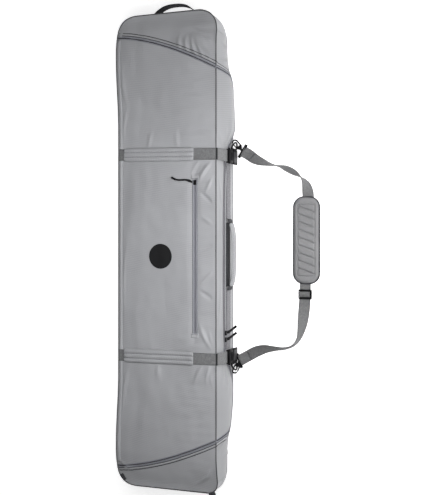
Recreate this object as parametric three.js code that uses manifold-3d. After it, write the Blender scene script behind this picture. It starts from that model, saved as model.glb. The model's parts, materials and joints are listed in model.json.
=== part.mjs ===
// A padded snowboard bag lying on its back, in millimetres: +X across towards the carrying side, +Y along
// towards the end handle, +Z up out of the front. The origin is the middle of the back panel's outer face.
//
// The tray (back panel, gussets, end panels and end caps) stays still. The lid is the front panel and the strip
// of side wall above the main zipper; it swings on the left front edge. A shoulder strap lies on the ground
// beside the bag, hooked to a D-ring at each end.
import * as THREE from "three";
import { mergeVertices } from "three/addons/utils/BufferGeometryUtils.js";
import Module from "manifold-3d";

// ---- driving dimensions -------------------------------------------------------------------------------
const BAG_LENGTH = 1608;
const BAG_WIDTH = 354;
const BAG_DEPTH = 170;
const WALL = 5; // shell fabric, foam and lining together
const CORNER_LEFT = 75; // plan radius of the corners on the hinge side
const CORNER_RIGHT = 35; // plan radius of the corners on the carrying side
const GAP = 0.3; // clearance between pieces that touch
const MIDDLE_BULGE = 12; // how far the right wall swells between the straps
const WAIST_BULGE = 7; // and where a compression strap pulls it in

// Each end: which way it lies, where its zipper crosses the front right edge, how much further the zipper runs
// to the left edge, its compression strap, and how far the right wall swells outside that strap.
const TOP = { sign: 1, seam: 605, rise: 126, strap: 320, skew: 8, bulge: 28 };
const BOTTOM = { sign: -1, seam: 625, rise: 113, strap: 357, skew: 0, bulge: 18 };
const ENDS = [TOP, BOTTOM];
const DIAGONAL_POWER = 1.5; // the diagonal steepens towards the right edge

const ZIP_LEVEL = 110; // height of the main zipper between the straps
const TAPE_WIDTH = 7; // one half of the main zipper's tape
const TAPE_THICK = 1.2;
const PIPING_RADIUS = 2.3;
const PIPING_STOP = 14; // the piping ends this far from the zipper

const STRAP_WIDTH = 40; // compression webbing
const STRAP_THICK = 2.4;
const SLEEVE = { left: -154, right: 100, width: 46, thick: 8 };
const BUCKLE = { stand: 12, width: 46, thick: 11, wall: 2, upper: 38, lower: 46, insert: 10 };
const TONGUE = { width: 27, thick: 2.5 };
const ARM = { width: 4.6, thick: 3 };

const SIDE_WEBBING = { low: 58, high: 101, thick: 2.4 };
const HANDLE = { low: -131, high: 106, bow: 16, core: 2.4, wrap: 2.6, overlap: 14 };
const RING = { wire: 2.3, bar: 50, reach: 22, lean: 20, height: 34, past: 6, tab: [14, 54] };
const HOOK = { thick: 5, wire: 4.6, half: 11, tip: -54, shank: -20, barrel: -9, slack: 1 };
const EYE = { width: 52, length: 10, thick: 5 };
const SLIDER = { width: 10, length: 16, thick: 4 };
const PULL = { radius: 2, length: 40 };

const POCKET = { x: 104.6, low: -278, high: 243, width: 18 };
const POCKET_PULL = { length: 78, radius: 2.2, turn: 14 };
const END_HANDLE = { left: -82, right: 79, reach: 42, width: 38, thick: 3, stand: 6 };
const TAB = { width: 24, reach: 10, thick: 3 };
const INNER_STRAP = { width: 38, inset: 12, thick: 2, y: 290 };

const WEBBING = { width: 38, thick: 2.6 }; // shoulder strap
const PAD = { x: 442, y: 36, width: 92, length: 294, thick: 14, corner: 22 };
const GLIDE = { x: 438, y: -146, z: 6.8, width: 46, length: 31, thick: 3.5, bar: 4.5 };
const UPPER_ROUTE = [
  [226, 338, 6], [262, 313, 3], [311, 293, 3], [362, 281, 3], [403, 268, 4], [430, 248, 5],
  [444, 222, 5], [446, 184, 5],
];
const LOWER_ROUTE = [
  [437, -111.5, 5], [438, -160, 5], [433, -200, 4], [432, -245, 3], [427, -285, 3], [408, -316, 3],
  [385, -329, 4], [345, -332, 3], [298, -338, 3], [253, -358, 4], [217, -375.5, 6],
];
const UPPER_EYE = { at: [217, 344, 9], ring: [199.9, 369.7, 34] };
const LOWER_EYE = { at: [205, -380, 9], ring: [199.9, -406.7, 34] };

const HALF_W = BAG_WIDTH / 2;
const HALF_L = BAG_LENGTH / 2;

// ---- materials ----------------------------------------------------------------------------------------
const finish = (color, roughness, metalness = 0) =>
  new THREE.MeshStandardMaterial({ color, roughness, metalness });
const SHELL = finish(0xa0a1a5, 0.75);
const SHELL_LIGHT = finish(0xb4b5b8, 0.75);
const LINING = finish(0x6d6e72, 0.85);
const BELT = finish(0x808183, 0.8);
const DARK_BELT = finish(0x55565a, 0.8);
const PIPING = finish(0x5a5b5d, 0.7);
const TAPE = finish(0x9a9ba6, 0.7);
const BLACK = finish(0x121212, 0.45);
const CHARCOAL = finish(0x3e3e40, 0.5);
const STEEL = finish(0x1a1a1a, 0.35, 0.8);

// ---- solids -------------------------------------------------------------------------------------------
const wasm = await Module();
wasm.setup();

function solidOf(geometry) {
  const bare = geometry.clone();
  bare.deleteAttribute("normal");
  bare.deleteAttribute("uv");
  const merged = mergeVertices(bare, 1e-3);
  const vertProperties = merged.attributes.position.array;
  const triVerts = new Uint32Array(merged.index.array);
  return new wasm.Manifold(new wasm.Mesh({ numProp: 3, vertProperties, triVerts }));
}

function geometryOf(solid) {
  const { vertProperties, triVerts } = solid.getMesh();
  const geometry = new THREE.BufferGeometry();
  geometry.setAttribute("position", new THREE.BufferAttribute(new Float32Array(vertProperties), 3));
  geometry.setIndex(new THREE.BufferAttribute(new Uint32Array(triVerts), 1));
  return geometry;
}

const combine = (how) => (first, ...rest) =>
  geometryOf(rest.reduce((solid, next) => solid[how](solidOf(next)), solidOf(first)));
const join = combine("add");
const cut = combine("subtract");
const common = combine("intersect");

const box = (x0, x1, y0, y1, z0, z1) =>
  new THREE.BoxGeometry(x1 - x0, y1 - y0, z1 - z0).translate(
    (x0 + x1) / 2, (y0 + y1) / 2, (z0 + z1) / 2);

// A flat outline in the ground plane, given a height; and one in the YZ plane, given a width along X.
const extrudeUp = (shape, z0, z1, curveSegments = 8) =>
  new THREE.ExtrudeGeometry(shape, { depth: z1 - z0, bevelEnabled: false, curveSegments })
    .translate(0, 0, z0);
const YZ_PLANE = new THREE.Matrix4().makeBasis(
  new THREE.Vector3(0, 1, 0), new THREE.Vector3(0, 0, 1), new THREE.Vector3(1, 0, 0));
const extrudeAcross = (shape, x0, x1) => extrudeUp(shape, x0, x1).applyMatrix4(YZ_PLANE);
const XZ_PLANE = new THREE.Matrix4().makeBasis(
  new THREE.Vector3(1, 0, 0), new THREE.Vector3(0, 0, 1), new THREE.Vector3(0, -1, 0));
const extrudeAlong = (shape, y0, y1) => extrudeUp(shape, -y1, -y0).applyMatrix4(XZ_PLANE);

const rod = (from, to, radius, sides = 10) => {
  const a = new THREE.Vector3(...from);
  const along = new THREE.Vector3(...to).sub(a);
  const turn = new THREE.Quaternion().setFromUnitVectors(
    new THREE.Vector3(0, 1, 0), along.clone().normalize());
  return new THREE.CylinderGeometry(radius, radius, along.length(), sides)
    .applyQuaternion(turn)
    .translate(...a.addScaledVector(along, 0.5).toArray());
};

const circle = (radius) => new THREE.Shape().absarc(0, 0, radius, 0, 2 * Math.PI);
const sweep = (curve, section, steps, curveSegments = 5) =>
  new THREE.ExtrudeGeometry(section, { steps, curveSegments, bevelEnabled: false, extrudePath: curve });

// The outline between two offsets, a and b, of a line of points in a plane.
function ribbon(points, a, b) {
  const shifted = (offset) => points.map((p, i) => {
    const before = points[Math.max(i - 1, 0)];
    const after = points[Math.min(i + 1, points.length - 1)];
    const along = new THREE.Vector2(after[0] - before[0], after[1] - before[1]).normalize();
    return new THREE.Vector2(p[0] - along.y * offset, p[1] + along.x * offset);
  });
  return new THREE.Shape([...shifted(a), ...shifted(b).reverse()]);
}

// A closed sheet between an outer and an inner surface, both given over the unit square.
function sheet(across, up, outer, inner) {
  const positions = [];
  const index = [];
  const layer = (across + 1) * (up + 1);
  for (const surface of [outer, inner])
    for (let j = 0; j <= up; j++)
      for (let i = 0; i <= across; i++) positions.push(...surface(i / across, j / up));
  const at = (i, j, side) => side * layer + j * (across + 1) + i;
  const quad = (a, b, c, d) => index.push(a, b, c, a, c, d);
  for (let j = 0; j < up; j++)
    for (let i = 0; i < across; i++) {
      quad(at(i, j, 0), at(i + 1, j, 0), at(i + 1, j + 1, 0), at(i, j + 1, 0));
      quad(at(i, j, 1), at(i, j + 1, 1), at(i + 1, j + 1, 1), at(i + 1, j, 1));
    }
  for (let i = 0; i < across; i++) {
    quad(at(i, 0, 1), at(i + 1, 0, 1), at(i + 1, 0, 0), at(i, 0, 0));
    quad(at(i, up, 0), at(i + 1, up, 0), at(i + 1, up, 1), at(i, up, 1));
  }
  for (let j = 0; j < up; j++) {
    quad(at(0, j, 0), at(0, j + 1, 0), at(0, j + 1, 1), at(0, j, 1));
    quad(at(across, j, 1), at(across, j + 1, 1), at(across, j + 1, 0), at(across, j, 0));
  }
  const geometry = new THREE.BufferGeometry();
  geometry.setAttribute("position", new THREE.Float32BufferAttribute(positions, 3));
  geometry.setIndex(index);
  return geometry;
}

const bag = new THREE.Group();
function add(name, geometry, material, parent = bag) {
  const mesh = new THREE.Mesh(geometry, material);
  mesh.name = name;
  parent.add(mesh);
  return mesh;
}

// ---- the bag's surfaces -------------------------------------------------------------------------------
// The front and back outline: a long rectangle, its corners rounder on the hinge side.
function planOutline() {
  const [w, l, rl, rr] = [HALF_W, HALF_L, CORNER_LEFT, CORNER_RIGHT];
  const quarter = Math.PI / 2;
  return new THREE.Shape()
    .moveTo(rl - w, -l)
    .lineTo(w - rr, -l)
    .absarc(w - rr, rr - l, rr, -quarter, 0)
    .lineTo(w, l - rr)
    .absarc(w - rr, l - rr, rr, 0, quarter)
    .lineTo(rl - w, l)
    .absarc(rl - w, l - rl, rl, quarter, 2 * quarter)
    .lineTo(-w, rl - l)
    .absarc(rl - w, rl - l, rl, 2 * quarter, 3 * quarter);
}

// How far the right wall swells at a place along the bag, eased between a few stations.
function swell(y) {
  const end = y > 0 ? TOP : BOTTOM;
  const stations = [
    [0, MIDDLE_BULGE],
    [end.strap - 50, MIDDLE_BULGE - 1],
    [end.strap - 10, WAIST_BULGE],
    [end.strap + 30, WAIST_BULGE + 1],
    [end.strap + 105, end.bulge],
    [end.seam - 60, end.bulge * 0.85],
    [end.seam + 60, 6],
    [HALF_L - CORNER_RIGHT, 0],
  ];
  const place = Math.min(Math.abs(y), stations.at(-1)[0]);
  const i = Math.max(1, stations.findIndex(([s]) => s >= place));
  const [[y0, b0], [y1, b1]] = [stations[i - 1], stations[i]];
  return b0 + (b1 - b0) * THREE.MathUtils.smoothstep(place, y0, y1);
}

const wallX = (y, z) =>
  HALF_W + swell(y) * Math.sin(Math.PI * THREE.MathUtils.clamp(z / BAG_DEPTH, 0, 1));

// A layer over the right wall, from one depth outside its face to another. Every layer has the same facets, so
// that layers lie on one another evenly.
const WALL_COLUMNS = 48;
const WALL_ROWS = 8;
function wallLayer(inner, outer, y0, y1, z0, z1) {
  const end = HALF_L - CORNER_RIGHT - GAP;
  const row = BAG_DEPTH / WALL_ROWS;
  const surface = (offset) => (u, v) => {
    const y = THREE.MathUtils.lerp(-end, end, u);
    const z = THREE.MathUtils.lerp(-row, BAG_DEPTH + row, v);
    return [wallX(y, z) + offset, y, z];
  };
  const whole = sheet(WALL_COLUMNS, WALL_ROWS + 2, surface(outer), surface(inner));
  return common(whole, box(0, 400, y0, y1, z0, z1));
}

// ---- the main zipper's line ---------------------------------------------------------------------------
// Across the front it is a diagonal at each end; on the right wall it dives at each end, then climbs under the
// compression strap to ZIP_LEVEL. Heights on the wall are shares of the bag's depth.
function frontLine(end, from = -HALF_W, to = HALF_W) {
  const steps = 12;
  return Array.from({ length: steps + 1 }, (_, i) => {
    const x = THREE.MathUtils.lerp(from, to, i / steps);
    const t = THREE.MathUtils.clamp((x + HALF_W) / BAG_WIDTH, 0, 1);
    return [x, end.sign * (end.seam + end.rise * (1 - t ** DIAGONAL_POWER))];
  });
}

function wallLine() {
  const level = ZIP_LEVEL / BAG_DEPTH;
  const dive = (end) => [
    [end.seam, 1], [end.seam - 8, 0.71], [end.seam - 19, 0.4], [end.seam - 34, 0.28],
    [end.seam - 52, 0.21], [end.seam - 85, 0.17], [end.strap + 150, 0.17], [end.strap + 100, 0.2],
    [end.strap + 60, 0.3], [end.strap + 30, 0.43], [end.strap + 2, level - 0.07],
    [end.strap - 24, level],
  ].map(([y, share]) => new THREE.Vector2(end.sign * y, share * BAG_DEPTH));
  const bottom = new THREE.SplineCurve(dive(BOTTOM)).getPoints(44);
  const top = new THREE.SplineCurve(dive(TOP)).getPoints(44).reverse();
  return [...bottom, ...top].map((p) => [p.x, p.y]);
}

const WALL_LINE = wallLine();
const reach = 40; // cutting outlines run this far past the bag

// The part of the right wall that belongs to the lid or the tray, a distance clear of the zipper's line.
function wallRegion(side, clear) {
  const edge = ribbon(WALL_LINE, side * clear, side * clear).getPoints().slice(0, WALL_LINE.length);
  const beyond = side > 0 ? BAG_DEPTH + reach : -reach;
  const [first, last] = [edge[0], edge.at(-1)];
  if (side > 0) return new THREE.Shape([
    new THREE.Vector2(first.x, beyond), ...edge, new THREE.Vector2(last.x, beyond)]);
  return new THREE.Shape([
    new THREE.Vector2(-HALF_L - reach, beyond), new THREE.Vector2(-HALF_L - reach, BAG_DEPTH + reach),
    new THREE.Vector2(first.x, BAG_DEPTH + reach), ...edge,
    new THREE.Vector2(last.x, BAG_DEPTH + reach), new THREE.Vector2(HALF_L + reach, BAG_DEPTH + reach),
    new THREE.Vector2(HALF_L + reach, beyond)]);
}

const lineAt = (end, clear, outward) => {
  const line = frontLine(end, -HALF_W - reach, HALF_W + reach);
  const offset = end.sign * outward * clear;
  return ribbon(line, offset, offset).getPoints().slice(0, line.length);
};

// ---- tray -----------------------------------------------------------------------------------------------
function buildTray() {
  const low = WALL + GAP;
  const high = BAG_DEPTH - WALL - GAP;
  add("back_panel", extrudeUp(planOutline(), 0, WALL), LINING);
  const leftY = HALF_L - CORNER_LEFT - GAP;
  add("left_gusset", box(-HALF_W, WALL - HALF_W, -leftY, leftY, low, high), SHELL);
  const rightY = HALF_L - CORNER_RIGHT - GAP;
  const wall = wallLayer(-WALL, 0, -rightY, rightY, low, high);
  add("right_gusset", common(wall, extrudeAcross(wallRegion(-1, GAP), 0, 400)), SHELL_LIGHT);
  add("lid_side_strip", common(wall, extrudeAcross(wallRegion(1, GAP), 0, 400)), SHELL_LIGHT);

  for (const end of ENDS) {
    const label = end === TOP ? "top" : "bottom";
    add(`${label}_end_panel`, endWall(end, low, high), SHELL);
    const edge = lineAt(end, TAPE_WIDTH / 2, 1);
    const beyond = end.sign * (HALF_L + reach);
    const region = new THREE.Shape([
      ...edge, new THREE.Vector2(edge.at(-1).x, beyond), new THREE.Vector2(edge[0].x, beyond)]);
    const plate = extrudeUp(planOutline(), BAG_DEPTH - WALL, BAG_DEPTH);
    add(`${label}_cap_front`, common(plate, extrudeUp(region, 0, 400)), SHELL);
    add(`${label}_end_piping`, endPiping(end), PIPING);
    const y = end.sign * INNER_STRAP.y;
    const tie = HALF_W - WALL - INNER_STRAP.inset;
    add(`inner_tie_${label}`, box(
      -tie, tie, y - INNER_STRAP.width / 2, y + INNER_STRAP.width / 2, low, low + INNER_STRAP.thick), DARK_BELT);
  }
  buildTabs();
  buildEndHandle();
}

// One end wall, round both corners.
function endWall(end, low, high) {
  const quarter = Math.PI / 2;
  const [rl, rr] = [CORNER_LEFT, CORNER_RIGHT];
  const shape = new THREE.Shape()
    .moveTo(-HALF_W, HALF_L - rl)
    .absarc(rl - HALF_W, HALF_L - rl, rl, 2 * quarter, quarter, true)
    .lineTo(HALF_W - rr, HALF_L)
    .absarc(HALF_W - rr, HALF_L - rr, rr, quarter, 0, true)
    .lineTo(HALF_W - WALL, HALF_L - rr)
    .absarc(HALF_W - rr, HALF_L - rr, rr - WALL, 0, quarter)
    .lineTo(rl - HALF_W, HALF_L - WALL)
    .absarc(rl - HALF_W, HALF_L - rl, rl - WALL, quarter, 2 * quarter)
    .closePath();
  const wall = extrudeUp(shape, low, high);
  return end.sign > 0 ? wall : mirrorY(wall);
}

function mirrorY(geometry) {
  const mirrored = geometry.index ? geometry.toNonIndexed() : geometry.clone();
  mirrored.applyMatrix4(new THREE.Matrix4().makeScale(1, -1, 1));
  const p = mirrored.attributes.position;
  for (let i = 0; i < p.count; i += 3)
    for (let k = 0; k < 3; k++) {
      const swap = p.getComponent(i + 1, k);
      p.setComponent(i + 1, k, p.getComponent(i + 2, k));
      p.setComponent(i + 2, k, swap);
    }
  return mirrored;
}

// Piping stands just outside and above the front edge.
const PIPE_OUT = PIPING_RADIUS + GAP;
const PIPE_UP = 0.8;

function endPiping(end) {
  const bend = (cx, cy, radius, from, to) => Array.from({ length: 6 }, (_, i) => {
    const a = THREE.MathUtils.lerp(from, to, (i + 0.5) / 6);
    return [cx + (radius + PIPE_OUT) * Math.cos(a), cy + (radius + PIPE_OUT) * Math.sin(a)];
  });
  const quarter = Math.PI / 2;
  const [rl, rr] = [CORNER_LEFT, CORNER_RIGHT];
  const straight = (a, b) => Array.from({ length: 8 }, (_, i) => [
    THREE.MathUtils.lerp(a[0], b[0], (i + 0.5) / 8), THREE.MathUtils.lerp(a[1], b[1], (i + 0.5) / 8)]);
  const [outX, outY] = [HALF_W + PIPE_OUT, HALF_L + PIPE_OUT];
  const plan = [
    [outX, end.seam + PIPING_STOP],
    ...straight([outX, end.seam + PIPING_STOP], [outX, HALF_L - rr]),
    ...bend(HALF_W - rr, HALF_L - rr, rr, 0, quarter),
    ...straight([HALF_W - rr, outY], [rl - HALF_W, outY]),
    ...bend(rl - HALF_W, HALF_L - rl, rl, quarter, 1.75 * quarter),
  ];
  const path = new THREE.CatmullRomCurve3(plan.map(([x, y]) =>
    new THREE.Vector3(x, end.sign * y, BAG_DEPTH + PIPE_UP)), false, "centripetal");
  return sweep(path, circle(PIPING_RADIUS), 48, 4);
}

function buildTabs() {
  const places = [
    ["corner_tab_left", CORNER_LEFT - HALF_W, CORNER_LEFT - HALF_L, CORNER_LEFT, -2.5],
    ["corner_tab_right", HALF_W - CORNER_RIGHT, CORNER_RIGHT - HALF_L, CORNER_RIGHT, -1.1],
  ];
  for (const [name, cx, cy, radius, angle] of places) {
    const out = radius + GAP + TAB.reach / 2 + 0.5;
    const tab = add(name, new THREE.BoxGeometry(TAB.reach, TAB.width, TAB.thick), DARK_BELT);
    tab.rotation.z = angle;
    tab.position.set(
      cx + out * Math.cos(angle), cy + out * Math.sin(angle), BAG_DEPTH - WALL - TAB.thick * 2);
  }
}

function buildEndHandle() {
  const { left, right, thick, width, stand } = END_HANDLE;
  const middle = (left + right) / 2;
  const half = (right - left) / 2;
  const arch = Array.from({ length: 15 }, (_, i) => {
    const t = (i / 14) * 2 - 1;
    return [middle + half * t, HALF_L + stand + (END_HANDLE.reach - stand) * (1 - Math.abs(t) ** 2.6)];
  });
  const z = BAG_DEPTH / 2;
  add("end_handle", extrudeUp(ribbon(arch, 0, thick), z - width / 2, z + width / 2), DARK_BELT);
}

// ---- lid --------------------------------------------------------------------------------------------------
function buildLid() {
  const upper = lineAt(TOP, TAPE_WIDTH / 2, -1);
  const lower = lineAt(BOTTOM, TAPE_WIDTH / 2, -1);
  const region = new THREE.Shape([...lower, ...upper.reverse()]);
  const plate = extrudeUp(planOutline(), BAG_DEPTH - WALL, BAG_DEPTH);
  add("front_panel", common(plate, extrudeUp(region, 0, 400)), SHELL);

  const x = HALF_W + PIPE_OUT;
  const z = BAG_DEPTH + PIPE_UP;
  add("front_piping", rod(
    [x, PIPING_STOP - BOTTOM.seam, z], [x, TOP.seam - PIPING_STOP, z], PIPING_RADIUS, 8), PIPING);

  for (const [name, side] of [["lid_zipper_tape", 1], ["tray_zipper_tape", -1]])
    add(name, zipperTape(side), TAPE);

  const { x: px, low, high, width } = POCKET;
  const top = BAG_DEPTH + GAP;
  add("pocket_zipper_tape", box(px - width / 2, px + width / 2, low, high, top, top + TAPE_THICK), TAPE);
  const slider = top + TAPE_THICK + GAP;
  add("pocket_slider", box(
    px - SLIDER.width / 2, px + SLIDER.width / 2, high - SLIDER.length - 8, high - 8,
    slider, slider + SLIDER.thick), BLACK);
  const turn = THREE.MathUtils.degToRad(POCKET_PULL.turn);
  const from = [
    px - SLIDER.width / 2 - POCKET_PULL.radius - GAP * 2, high - 8 - SLIDER.length / 2,
    slider + POCKET_PULL.radius];
  const to = [
    from[0] - POCKET_PULL.length * Math.cos(turn), from[1] + POCKET_PULL.length * Math.sin(turn), from[2]];
  add("pocket_pull", rod(from, to, POCKET_PULL.radius, 8), BLACK);
}

// Half of the main zipper: a band down the right wall, joined at both ends to a band across the front.
function zipperTape(side) {
  const [a, b] = [side * GAP, side * TAPE_WIDTH];
  const over = GAP + TAPE_THICK;
  const layer = wallLayer(GAP, over, -BOTTOM.seam - reach, TOP.seam + reach, 0, BAG_DEPTH + over);
  const line = [[WALL_LINE[0][0], BAG_DEPTH + over], ...WALL_LINE, [WALL_LINE.at(-1)[0], BAG_DEPTH + over]];
  const bands = [common(layer, extrudeAcross(ribbon(line, a, b), 0, 400))];
  for (const end of ENDS) {
    const out = -side * end.sign;
    const shape = ribbon(frontLine(end, -HALF_W, HALF_W + over), out * Math.abs(a), out * Math.abs(b));
    bands.push(extrudeUp(shape, BAG_DEPTH + GAP, BAG_DEPTH + over));
  }
  return join(...bands);
}

// The two sliders sit side by side on the straight stretch, near the lower strap, each with its pull.
function buildMainSliders() {
  for (const [name, y, material] of [["upper", -275, CHARCOAL], ["lower", -297, BLACK]]) {
    const x = wallX(0, ZIP_LEVEL) + GAP * 3 + TAPE_THICK; // clears the wall's widest place
    add(`${name}_slider`, box(
      x, x + SLIDER.thick, y - SLIDER.length / 2, y + SLIDER.length / 2,
      ZIP_LEVEL - SLIDER.width / 2 + 1, ZIP_LEVEL + SLIDER.width / 2 + 1), BLACK);
    const from = [x + SLIDER.thick + PULL.radius + GAP * 2, y, ZIP_LEVEL + 2];
    const to = [from[0] + PULL.length * 0.79, y + PULL.length * 0.6, ZIP_LEVEL - 2];
    add(`${name}_pull`, rod(from, to, PULL.radius, 8), material);
  }
}

// ---- compression straps ---------------------------------------------------------------------------------
function buildStrap(end) {
  const label = end === TOP ? "upper" : "lower";
  const y = end.sign * end.strap;
  const tilt = Math.atan2(-end.skew, HALF_W);
  const front = new THREE.Group();
  front.position.set(0, y + end.skew / 2, BAG_DEPTH + GAP);
  front.rotation.z = tilt;
  bag.add(front);
  const half = STRAP_WIDTH / 2;
  add(`${label}_strap_front`, box(-HALF_W + 1, HALF_W - 3, -half, half, 0, STRAP_THICK), BELT, front);
  const lift = STRAP_THICK + GAP;
  const sleeve = roundedBar(SLEEVE.left, SLEEVE.right, SLEEVE.width, SLEEVE.thick);
  add(`${label}_strap_sleeve`, sleeve.translate(0, 0, lift), SHELL, front);

  const inner = HALF_W + BUCKLE.stand;
  const joint = ZIP_LEVEL - 10 - BUCKLE.upper;
  const top = joint + BUCKLE.upper;
  const start = [HALF_W + 3.8, BAG_DEPTH - PIPING_RADIUS - 1];
  const side = [start, [inner + 3, top + GAP + 1]];
  add(`${label}_strap_side`, extrudeAlong(
    ribbon(side, -STRAP_THICK / 2, STRAP_THICK / 2), y - half, y + half), BELT);
  buildBuckle(label, y, inner, joint);
}

// A bar with a flat underside and rounded top, along X.
function roundedBar(x0, x1, width, thick) {
  const half = width / 2;
  const section = new THREE.Shape([[-half, 0], [half, 0]].map((p) => new THREE.Vector2(...p)));
  section.lineTo(half, thick * 0.3);
  section.quadraticCurveTo(half, thick, half * 0.55, thick);
  section.lineTo(-half * 0.55, thick);
  section.quadraticCurveTo(-half, thick, -half, thick * 0.3);
  return extrudeUp(section, x0, x1, 4).applyMatrix4(YZ_PLANE);
}

// The upper half hangs from the strap and plugs down into the lower half, which is sewn to the tray.
function buildBuckle(label, y, inner, joint) {
  const { width, thick, wall, upper, lower, insert } = BUCKLE;
  const half = width / 2;
  const cavity = [inner + wall, inner + thick - wall];
  const top = joint + upper;
  const tongueX = cavity[0] + GAP;
  const slot = (z) => box(inner - 1, inner + thick + 1, y - half + 4, y + half - 4, z, z + 4.5);
  const block = cut(box(inner, inner + thick, y - half, y + half, joint + GAP, top), slot(top - 10));
  const tongue = box(
    tongueX, tongueX + TONGUE.thick, y - TONGUE.width / 2, y + TONGUE.width / 2,
    joint - insert, joint + GAP + 1);
  add(`${label}_buckle_male`, join(block, tongue), BLACK);

  const well = box(
    ...cavity, y - half - 1, y + half + 1, joint - insert - GAP * 2, joint + 1);
  const foot = joint - lower;
  add(`${label}_buckle_female`, cut(
    box(inner, inner + thick, y - half, y + half, foot, joint), well,
    box(inner - 1, inner + thick + 1, y - half + 4, y + half - 4, foot + 4, foot + 8)), CHARCOAL);

  for (const side of [-1, 1]) {
    const outer = side * half;
    const name = `${label}_buckle_arm_${side < 0 ? "a" : "b"}`;
    const [y0, y1] = [outer, outer - side * ARM.width].sort((p, q) => p - q);
    add(name, box(
      tongueX, tongueX + ARM.thick, y + y0, y + y1, joint - insert, joint), BLACK);
  }
  const anchorX = wallX(y, foot) + GAP * 4;
  add(`${label}_anchor_webbing`, box(
    anchorX, anchorX + STRAP_THICK, y - half + 3, y + half - 3, 1, RING.tab[0] - GAP), BELT);
}

// ---- side webbing, grab handle and D-rings --------------------------------------------------------------
function buildSideWebbing() {
  const { low, high, thick } = SIDE_WEBBING;
  const layer = (y0, y1) => wallLayer(GAP, GAP + thick, y0, y1, low, high);
  const short = BUCKLE.width / 2 + 3;
  add("side_webbing_upper", layer(HANDLE.high + 1, TOP.strap - short), BELT);
  add("side_webbing_lower", layer(short - BOTTOM.strap, HANDLE.low - 1), BELT);

  const { low: y0, high: y1, bow, core, wrap, overlap } = HANDLE;
  const stand = wallX(0, (low + high) / 2) + GAP * 2 + wrap;
  const arch = Array.from({ length: 17 }, (_, i) => {
    const t = (i / 16) * 2 - 1;
    return [stand + bow * (1 - t ** 4), THREE.MathUtils.lerp(y0, y1, i / 16)];
  });
  const band = (a, b, z0, z1, points = arch) => extrudeUp(ribbon(points, a, b), z0, z1);
  add("grab_handle_webbing", band(-core, 0, low + wrap + GAP, high - wrap - GAP), DARK_BELT);
  const wrapped = arch.filter(([, y]) => y > y0 + overlap - 1 && y < y1 - overlap + 1);
  const tube = band(-core - GAP - wrap, GAP + wrap, low, high, wrapped);
  const hole = band(-core - GAP, GAP, low + wrap, high - wrap,
    arch.map(([x, y], i) => (i === 0 ? [x, y - 10] : i === arch.length - 1 ? [x, y + 10] : [x, y])));
  add("grab_handle_wrap", cut(tube, hole), SHELL_LIGHT);
}

// A D-ring: a straight bar up the wall and an arc that reaches along the bag, leaning outwards.
function buildRing(end) {
  const label = end === TOP ? "upper" : "lower";
  const half = RING.bar / 2;
  // The wire's two ends meet in the middle of the straight bar.
  const above = [[0, GAP / 2], [0, half * 0.5], [0, half], [RING.reach * 0.55, half * 0.86],
    [RING.reach, half * 0.35]];
  const below = above.map(([a, b]) => [a, -b]).reverse();
  const loop = new THREE.CatmullRomCurve3(
    [...above, ...below].map(([a, b]) => new THREE.Vector3(0, end.sign * a, b)), false, "centripetal");
  const ring = add(`${label}_d_ring`, sweep(loop, circle(RING.wire), 36, 2), STEEL);
  const y = end.strap + BUCKLE.width / 2 + RING.past;
  ring.position.set(HALF_W + BUCKLE.stand + 3.4, end.sign * y, RING.height);
  ring.rotation.z = -end.sign * THREE.MathUtils.degToRad(RING.lean);
  const [low, high] = RING.tab;
  const [y0, y1] = [end.sign * (end.strap - 20), end.sign * (y - 1)].sort((a, b) => a - b);
  add(`${label}_ring_tab`, wallLayer(GAP, GAP + STRAP_THICK, y0, y1, low, high), BELT);
}

// ---- snap hooks -----------------------------------------------------------------------------------------
// Each stands in its own frame: x runs from the D-ring towards the strap, z out of the hook's flat face.
function buildHook(label, eye, belt) {
  const at = new THREE.Vector3(...eye.at);
  const x = at.clone().sub(new THREE.Vector3(...eye.ring)).normalize();
  const y = new THREE.Vector3(0, 0, 1).cross(x).normalize();
  const frame = new THREE.Group();
  frame.setRotationFromMatrix(new THREE.Matrix4().makeBasis(x, y, x.clone().cross(y)));
  frame.position.copy(at);
  bag.add(frame);

  const { thick, wire, half, tip, shank, barrel } = HOOK;
  const bowEnd = tip + half;
  const outline = new THREE.Shape()
    .moveTo(shank, half)
    .lineTo(bowEnd, half)
    .absarc(bowEnd, 0, half, Math.PI / 2, Math.PI * 1.36)
    .lineTo(bowEnd - 2.2, -half + wire)
    .absarc(bowEnd, 0, half - wire, Math.PI * 1.3, Math.PI / 2, true)
    .lineTo(shank - wire, half - wire)
    .lineTo(shank - wire, -half)
    .lineTo(shank, -half)
    .lineTo(barrel - GAP, -4)
    .lineTo(barrel - GAP, 4)
    .closePath();
  add(`${label}_snap_hook`, extrudeUp(outline, -thick / 2, thick / 2, 6), STEEL, frame);
  const gateTip = bowEnd - 1;
  add(`${label}_hook_gate`, box(
    gateTip, shank - wire - HOOK.slack, -half, -half + wire - 1, -thick / 2 + 0.6, thick / 2 - 0.6), STEEL, frame);

  // The eye lies flat on the ground, its bar square to the strap.
  const flat = new THREE.Group();
  flat.position.copy(at);
  flat.rotation.z = Math.atan2(belt[1], belt[0]);
  bag.add(flat);
  const bar = box(-EYE.length / 2, EYE.length / 2, -EYE.width / 2, EYE.width / 2,
    -EYE.thick / 2, EYE.thick / 2);
  add(`${label}_strap_eye`, bar, BLACK, flat);
}

// ---- shoulder strap -------------------------------------------------------------------------------------
function beltSection() {
  const [w, t] = [WEBBING.width / 2, WEBBING.thick / 2];
  const corner = t * 0.6;
  return new THREE.Shape([
    [-t, corner - w], [corner - t, -w], [t - corner, -w], [t, corner - w],
    [t, w - corner], [t - corner, w], [corner - t, w], [-t, w - corner],
  ].map((p) => new THREE.Vector2(...p)));
}

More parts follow.
